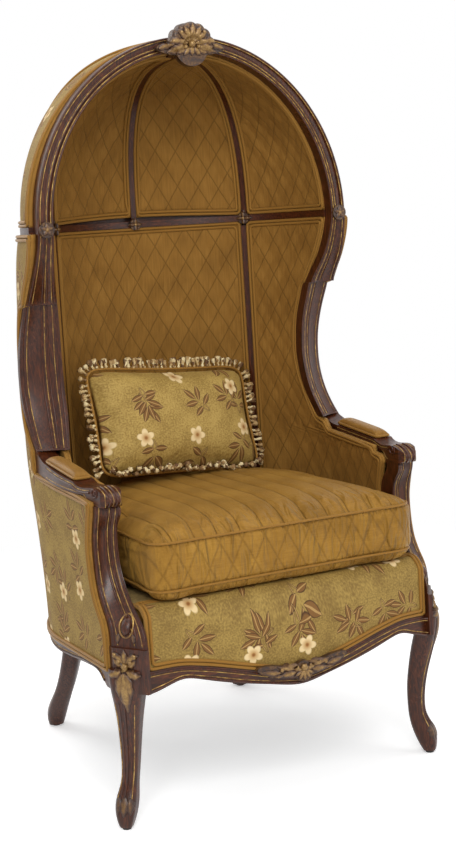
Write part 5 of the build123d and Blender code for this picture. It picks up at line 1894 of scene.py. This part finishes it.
def build_mouldings():
    """Gold rubbed lines and fine ridges along the moulded members."""
    lines = {"gilt": [], "ridge": []}

    def lay(kind, surface, spots, lift=0.0):
        lines[kind].append(laid_path(surface, spots, lift))

    frame_face = solid_surface("wing_frame_right", "wing_shoulder_right", "hood_arch_right")
    stump_face = solid_surface("arm_stump_right", "front_leg_right")
    stump_rows = [(row[0], stump_outer, row[2], stump_inner, row[1]) for row in stump_edges]
    for rows, low, high, surface in (
        (shoulder_edges, scroll_break + wing_line_gap, hood_base, frame_face),
        (wing_edges, wing_joint + wing_line_gap, scroll_break - shoulder_line_gap, frame_face),
        (stump_rows, stump_line_foot, arm_joint - stump_line_gap, stump_face),
    ):
        for kind, share, lift in moulded_lines:
            lay(kind, surface, face_path(rows, share, low, high), lift)
    for kind, share, lift in moulded_lines:
        lay(kind, frame_face, arch_path(share), lift)
    leg_face = solid_surface("front_leg_right")
    for kind, share, lift in leg_lines:
        lay(kind, leg_face, leg_path(share), lift)
    rail_face = solid_surface("side_rail_right", "back_rail", "back_leg_right")
    for kind, rise in (("ridge", 0.0035), ("gilt", 0.0080)):
        lay(kind, rail_face, side_rail_path(rise))
    front_face = solid_surface("front_rail", "front_leg_right")
    for kind, table, rise, lift in front_rail_lines:
        across = np.linspace(0.0, front_line_end, 60)
        line = [(x, bow(x), smooth_table(table, x)[1] + rise) for x in across]
        lay(kind, front_face, [(place, (0, 1, 0)) for place in line], lift)
    arm_face = solid_surface("arm_right")
    for inward in (-1, 1):
        for kind, from_above, rise in arm_lines:
            lay(kind, arm_face, arm_path(arm_face, from_above, rise, inward))
    for kind, x in hand_lines:
        lay(kind, arm_face, hand_path(x))
    for side in (-1, 1):
        lay("ridge", arm_face, scroll_path(side), scroll_lift)
    line_pair("gilt_lines", lines["gilt"], gilt_radius, gold_line)
    line_pair("carved_ridges", lines["ridge"], ridge_radius, upright_walnut)


leaf_steps = 15
leaf_sides = 14
carved_foot = 0.0012  # by which a leaf or bead goes into the wood


def leaf_rings(start, angle, length, width, height, bend=0.0, teeth=3):
    """Rings of a carved leaf in its own plane (u, v) with a rise: ribbed, toothed and domed."""
    rings = []
    turn = math.radians(angle)
    u, v = start
    for index in range(leaf_steps):
        share = index / (leaf_steps - 1)
        tooth = 1 + 0.16 * math.cos(share * teeth * math.tau)
        half = width * math.sin(math.pi * min(0.985, max(0.02, share)) ** 0.75) ** 0.75 * tooth
        rise = height * (0.35 + 0.65 * math.sin(math.pi * (0.15 + 0.8 * share)))
        ring = []
        for step in range(leaf_sides):
            around = math.tau * step / leaf_sides
            across, lift = math.cos(around), math.sin(around)
            if lift > 0:
                rib = 1 - 0.35 * math.cos(math.pi * 1.5 * across) ** 2
                lift = rise * lift * rib * (1.25 if abs(across) < 0.2 else 1.0)
            else:
                lift *= carved_foot
            side = half * across
            ring.append((u - side * math.sin(turn), v + side * math.cos(turn), lift))
        rings.append(ring)
        turn += math.radians(bend) / leaf_steps
        u += length / leaf_steps * math.cos(turn)
        v += length / leaf_steps * math.sin(turn)
    return rings


bead_levels = (0.02, 0.35, 0.7, 0.92, 1.0)
bead_edge = 0.001
bead_close = 0.02
petal_cut = 0.22


def bead_rings(u, v, radii, height, petals=0, levels=bead_levels, sides=20):
    """Rings of a round or oval bead, or of a flower with some petals."""
    rings = []
    for level in levels:
        rise = height * math.sqrt(max(0.0, 1 - level**2)) - (bead_edge if level == 1 else 0)
        ring = []
        for step in range(sides):
            turn = math.tau * step / sides
            reach = level * (1 - petal_cut * (0.5 - 0.5 * math.cos(turn * petals)) * level)
            du, dv = radii[0] * reach * math.cos(turn), radii[1] * reach * math.sin(turn)
            ring.append((u + du, v + dv, rise))
        rings.append(ring)
    foot = []
    for edge_u, edge_v, _ in rings[-1]:
        place = (u + (edge_u - u) * bead_close, v + (edge_v - v) * bead_close, -carved_foot)
        foot.append(place)
    return [*rings, foot]


def both_ways(leaves, beads):
    """Leaves and beads given for the right side, with their mirror images."""
    rings = []
    for (u, v), angle, length, width, height, bend in leaves:
        rings.append(leaf_rings((u, v), angle, length, width, height, bend))
        if u != 0 or abs(angle) != 90:
            rings.append(leaf_rings((-u, v), 180 - angle, length, width, height, -bend))
    for (u, v), radius, height, petals in beads:
        for sign in (-1, 1) if u else (1,):
            rings.append(bead_rings(sign * u, v, (radius, radius), height, petals))
    return rings


slides = (1.0, 0.9, 0.8, 0.7, 0.6, 0.5, 0.4)
highest_ground = 0.03
deepest_ground = 0.016
carving_room = 0.04


def carving(name, surface, origin, right, elements, deepest=deepest_ground):
    """Carved relief: rings of leaves and beads laid on a surface that stands upright."""
    right = Vector(right).normalized()
    up = Vector((0, 0, 1))
    out = right.cross(up)
    points = []
    faces = []
    rises = []
    for rings in elements:
        faces += ring_faces(len(points), len(rings), len(rings[0]))
        for u, v, rise in [corner for ring in rings for corner in ring]:
            # A place beside the wood slides towards the middle until it meets the wood
            for share in slides:
                spot = Vector(origin) + right * u * share + up * v
                found = touch(surface, spot, -out, carving_room)
                if found is not None and (found - spot).dot(out) > -deepest:
                    break
            found = spot if found is None else found
            depth = max(-deepest, min(highest_ground, (found - spot).dot(out)))
            points.append(tuple(spot + out * (depth + rise)))
            rises.append(max(0.0, rise))
    piece = new_piece(name, points, faces, gold_relief)
    layer = piece.data.attributes.new("rise", "FLOAT", "POINT")
    layer.data.foreach_set("value", rises)
    return face_outwards(piece, None)


def carving_pair(*shape):
    """Carved relief on the right side, and its mirror image."""
    declare_pair(carving(*shape))


# Leaves: foot (u, v), angle, length, half width, height, bend. Beads: centre, radius, height, petals
crest_leaves = (
    ((0.0, -0.004), 90, 0.039, 0.0080, 0.0075, 0),
    ((0.003, -0.005), 63, 0.038, 0.0078, 0.0070, -4),
    ((0.005, -0.006), 38, 0.036, 0.0074, 0.0065, -8),
    ((0.008, -0.009), 12, 0.034, 0.0072, 0.0060, -12),
    ((0.012, -0.016), -8, 0.050, 0.0100, 0.0055, -12),
    ((0.026, -0.006), 14, 0.034, 0.0080, 0.0052, -36),
    ((0.044, -0.012), -2, 0.040, 0.0072, 0.0045, -30),
    ((0.0, -0.014), -90, 0.022, 0.0080, 0.0055, 0),
    ((0.006, -0.016), -62, 0.024, 0.0072, 0.0050, 20),
    ((0.014, -0.020), -34, 0.026, 0.0062, 0.0045, 24),
)
crest_beads = (
    ((0.0, -0.010), 0.0095, 0.011, 5),
    ((0.015, -0.016), 0.0060, 0.008, 5),
    ((0.026, 0.012), 0.0048, 0.006, 0),
)
rail_leaves = (
    ((0.0, 0.004), -90, 0.024, 0.0056, 0.006, 0),
    ((0.002, 0.004), -62, 0.023, 0.0052, 0.006, 5),
    ((0.003, 0.005), -34, 0.023, 0.0050, 0.005, 10),
    ((0.004, 0.007), -4, 0.022, 0.0050, 0.005, 16),
    ((0.018, 0.004), -14, 0.040, 0.0074, 0.005, 26),
    ((0.022, 0.010), 12, 0.042, 0.0062, 0.005, 6),
    ((0.052, 0.008), 0, 0.046, 0.0064, 0.0045, 24),
    ((0.048, 0.002), -18, 0.030, 0.0052, 0.004, 30),
)
rail_beads = (
    ((0.0, 0.010), 0.0090, 0.008, 6),
    ((0.017, 0.011), 0.0070, 0.006, 5),
    ((0.050, 0.013), 0.0055, 0.005, 5),
)
knee_leaves = (
    ((0.0, 0.014), -90, 0.088, 0.0140, 0.0060, 0),
    ((0.004, 0.012), -66, 0.054, 0.0095, 0.0055, -30),
    ((0.007, 0.018), -40, 0.034, 0.0085, 0.0055, 50),
    ((0.005, 0.026), 6, 0.028, 0.0075, 0.0050, 60),
    ((0.003, 0.030), 58, 0.038, 0.0078, 0.0050, -50),
    ((0.0, 0.030), 90, 0.030, 0.0075, 0.0055, 0),
)
knee_beads = (
    ((0.0, 0.024), 0.0090, 0.0095, 5),
    ((0.013, 0.034), 0.0055, 0.0075, 0),
    ((0.022, 0.046), 0.0065, 0.0060, 5),
)
foot_leaves = (
    ((0.0, 0.022), -90, 0.040, 0.0095, 0.0035, 0),
    ((0.011, 0.020), -82, 0.034, 0.0070, 0.0032, -8),
)
stump_leaf = (((0.014, -0.014), -62, 0.022, 0.0055, 0.0035, -40),)
cabochon_radii = (0.0115, 0.0175)
cabochon_levels = (0.02, 0.4, 0.75, 0.95, 1.0)
cabochon_ring = (0.0150, 0.0215)
cabochon_height = 0.0085
ring_radius = 0.0022
ring_sink = -0.0004
low_stump = (0.345, -0.345, 0.412)
stump_facing = (0.61, -0.47, 0)
stump_depth = 0.034
crest_spot = (0, arch_front - 0.02, 1.546)
rail_spot = (0, bow(0), 0.274)
knee_spot = (0.362, -0.359, 0.312)
foot_spot = (0.366, -0.323, 0.044)
arch_spot = (0.343, -0.078, hood_base)
rib_reach = 0.3235
# Length, half width and height of a leaf; radii and height of the bead in the middle
cross_leaf = (0.021, 0.0042, 0.0035)
cross_bead = ((0.0055, 0.0055), 0.0045)
flower_leaf = (0.0155, 0.0048, 0.0035)
flower_bead = ((0.0050, 0.0050), 0.0050)


def build_carvings():
    """Shells, leaves and beads of the crest, the front rail, the knees, the feet and the hood."""
    sideways = (1, 0, 0)
    diagonal = (math.sqrt(0.5), math.sqrt(0.5), 0)
    crest = solid_surface("crest_carving", "hood_arch_left", "hood_arch_right")
    rail = solid_surface("rail_carving", "front_rail")
    shell = both_ways(crest_leaves, crest_beads)
    spray = both_ways(rail_leaves, rail_beads)
    declare(carving("crest_shell", crest, crest_spot, sideways, shell))
    declare(carving("front_rail_shell", rail, rail_spot, sideways, spray))
    knee = solid_surface("front_leg_right", "front_rail", "side_rail_right", "arm_stump_right")
    acanthus = both_ways(knee_leaves, knee_beads)
    carving_pair("knee_leaves_right", knee, knee_spot, diagonal, acanthus)
    leg = solid_surface("front_leg_right")
    foot = both_ways(foot_leaves, ())
    carving_pair("foot_leaves_right", leg, foot_spot, diagonal, foot)
    # Oval cabochon in a gold ring with a leaf on each side, low on the arm stump
    outward = Vector(stump_facing).normalized()
    along_face = Vector((-outward.y, outward.x, 0))
    stump = solid_surface("arm_stump_right", "front_leg_right")
    oval = bead_rings(0, 0, cabochon_radii, cabochon_height, 0, cabochon_levels, 24)
    polished = carving("stump_cabochon_right", stump, low_stump, along_face, [oval])
    polished.data.materials[0] = upright_walnut
    declare_pair(polished)
    leaves = both_ways(stump_leaf, ())
    carving_pair("stump_leaves_right", stump, low_stump, along_face, leaves, stump_depth)
    spots = []
    for turn in np.linspace(0, math.tau, 40):
        spot = Vector(low_stump) + along_face * cabochon_ring[0] * math.cos(turn)
        spot.z += cabochon_ring[1] * math.sin(turn)
        spots.append((spot, -outward))
    ring = laid_path(stump, spots, ring_sink)
    line_pair("cabochon_ring", [ring], ring_radius, gold_line)
    # Pointed crosses where the ribs meet the hood rail, and small flowers on the arch
    ribs = ("hood_rib_right", "hood_rib_left", "hood_rib_centre", "back_post_right")
    hood = solid_surface("rosettes", "hood_rail", *ribs)
    cross = [leaf_rings((0, 0), angle, *cross_leaf, 0, 0) for angle in range(0, 360, 90)]
    cross.append(bead_rings(0, 0, *cross_bead, 4))
    for name, turn in (("right", 46.4), ("middle", 0.0)):
        sine, cosine = math.sin(math.radians(turn)), math.cos(math.radians(turn))
        spot = (rib_reach * sine, hood_centre + rib_reach * cosine, hood_base)
        piece = carving(f"rib_cross_{name}", hood, spot, (cosine, -sine, 0), cross)
        if turn:
            declare_pair(piece)
        else:
            declare(piece)
    flower = [leaf_rings((0, 0), angle, *flower_leaf, 0, 0) for angle in range(18, 378, 72)]
    flower.append(bead_rings(0, 0, *flower_bead))
    arch = solid_surface("rosettes", "hood_arch_right", "wing_shoulder_right")
    carving_pair("arch_flower_right", arch, arch_spot, sideways, flower)


build_mouldings()
build_carvings()


# Camera, light and floor

lamps = (
    ("key_lamp", (-1.5, -3.1, 2.8), (0, 0, 0.8), 2.0, 100),
    ("fill_lamp", (2.8, -2.4, 1.8), (0, 0, 0.7), 2.4, 34),
    ("top_lamp", (0.2, -0.2, 3.6), (0, 0, 0.5), 2.4, 38),
    ("back_lamp", (-1.6, 2.4, 2.4), (0, 0, 0.8), 2.0, 30),
)
camera_place = (-1.418, -2.968, 1.1734)
camera_aim = (0.0746, 0.0, 0.7242)
camera_roll = -3.5  # degrees
camera_lens = 64.3  # mm
sensor_width = 36  # mm
farthest_seen = 60
floor_reach = 14.0


def seen_directly(tree):
    """1 for rays of the camera, of mirrors and through glass, otherwise 0."""
    rays = ("Is Camera Ray", "Is Glossy Ray", "Is Transmission Ray")
    seen, glossy, through = add(tree, "ShaderNodeLightPath", output=rays)
    return (seen + glossy + through).math("MINIMUM", 1.0)


def paper():
    """White paper that the camera sees brighter than the lamps make it, and pure white far off."""
    material, tree = new_material("white_paper_floor")
    place = pattern_place(tree)
    speckle = add(tree, noise, {"Vector": place, "Scale": 3.0})
    seen = seen_directly(tree)
    inputs = {
        "Base Color": speckle.ramp((0.4, "#f6f6f6"), (0.6, "#f8f8f8")),
        "Roughness": 0.9,
        "Emission Color": "#ffffff",
        "Emission Strength": seen * 0.4,
    }
    coat(material, inputs)
    away = add(tree, "ShaderNodeVectorMath", {0: place}, "Value", operation="LENGTH")
    shader = tree.nodes["Principled BSDF"].outputs[0]
    white = add(tree, "ShaderNodeEmission")
    mixed = add(tree, "ShaderNodeMixShader", {0: seen * away.fade(1.0, 2.4), 1: shader, 2: white})
    connect(tree, tree.nodes["Material Output"], {"Surface": mixed})
    return material


def build_stage():
    """White paper floor, soft lamps, and the camera of the photograph."""
    sides = ((-1, -1), (1, -1), (1, 1), (-1, 1))
    corners = [(x * floor_reach, y * floor_reach, 0.0) for x, y in sides]
    new_piece("paper_floor", corners, [(0, 1, 2, 3)], paper())
    world = bpy.data.worlds.new("studio")
    scene.world = world
    world.use_nodes = True
    tree = world.node_tree
    strength = seen_directly(tree).fade(0.0, 1.0, 0.37, 1.0)
    connect(tree, tree.nodes["Background"], {"Color": "#ffffff", "Strength": strength})
    for name, place, aim, size, power in lamps:
        lamp = bpy.data.lights.new(name, "AREA")
        lamp.size = size
        lamp.energy = power
        holder = linked(name, lamp)
        holder.location = place
        direction = Vector(aim) - Vector(place)
        holder.rotation_euler = direction.to_track_quat("-Z", "Y").to_euler()
    camera = bpy.data.cameras.new("camera")
    camera.lens = camera_lens
    camera.sensor_width = sensor_width
    camera.clip_end = farthest_seen
    back = Vector((0, centring, 0))
    eye, aim = Vector(camera_place) + back, Vector(camera_aim) + back
    forward = (aim - eye).normalized()
    right = forward.cross(Vector((0, 0, 1))).normalized()
    up = right.cross(forward)
    sine, cosine = math.sin(math.radians(camera_roll)), math.cos(math.radians(camera_roll))
    axes = (right * cosine + up * sine, up * cosine - right * sine, -forward, eye)
    holder = linked("camera", camera)
    columns = [(*axis, end) for axis, end in zip(axes, (0, 0, 0, 1))]
    holder.matrix_world = Matrix(columns).transposed()
    scene.camera = holder
    scene.view_settings.view_transform = "Standard"


build_stage()

# Finishes of the CAD nodes that stay
finishes = dict.fromkeys(("back_rail", "front_rail", "hood_rail"), cross_walnut)
finishes.update(dict.fromkeys(("crest_carving", "rail_carving", "rosettes"), gold_carving))
level_nodes = ("arm_left", "arm_right", "side_rail_left", "side_rail_right")
finishes.update(dict.fromkeys(level_nodes, level_walnut))
finishes["corner_blocks"] = raw_beech()
finishes["block_screws"] = screw_steel()
finishes["leg_glides"] = black_nylon()
finishes["deck_pad"] = deck_cloth
covered = ("outer_", "hood_cover", "front_border")
for name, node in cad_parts.items():
    finish = floral_tapestry if name.startswith(covered) else finishes.get(name, upright_walnut)
    node.data.materials.clear()
    node.data.materials.append(finish)
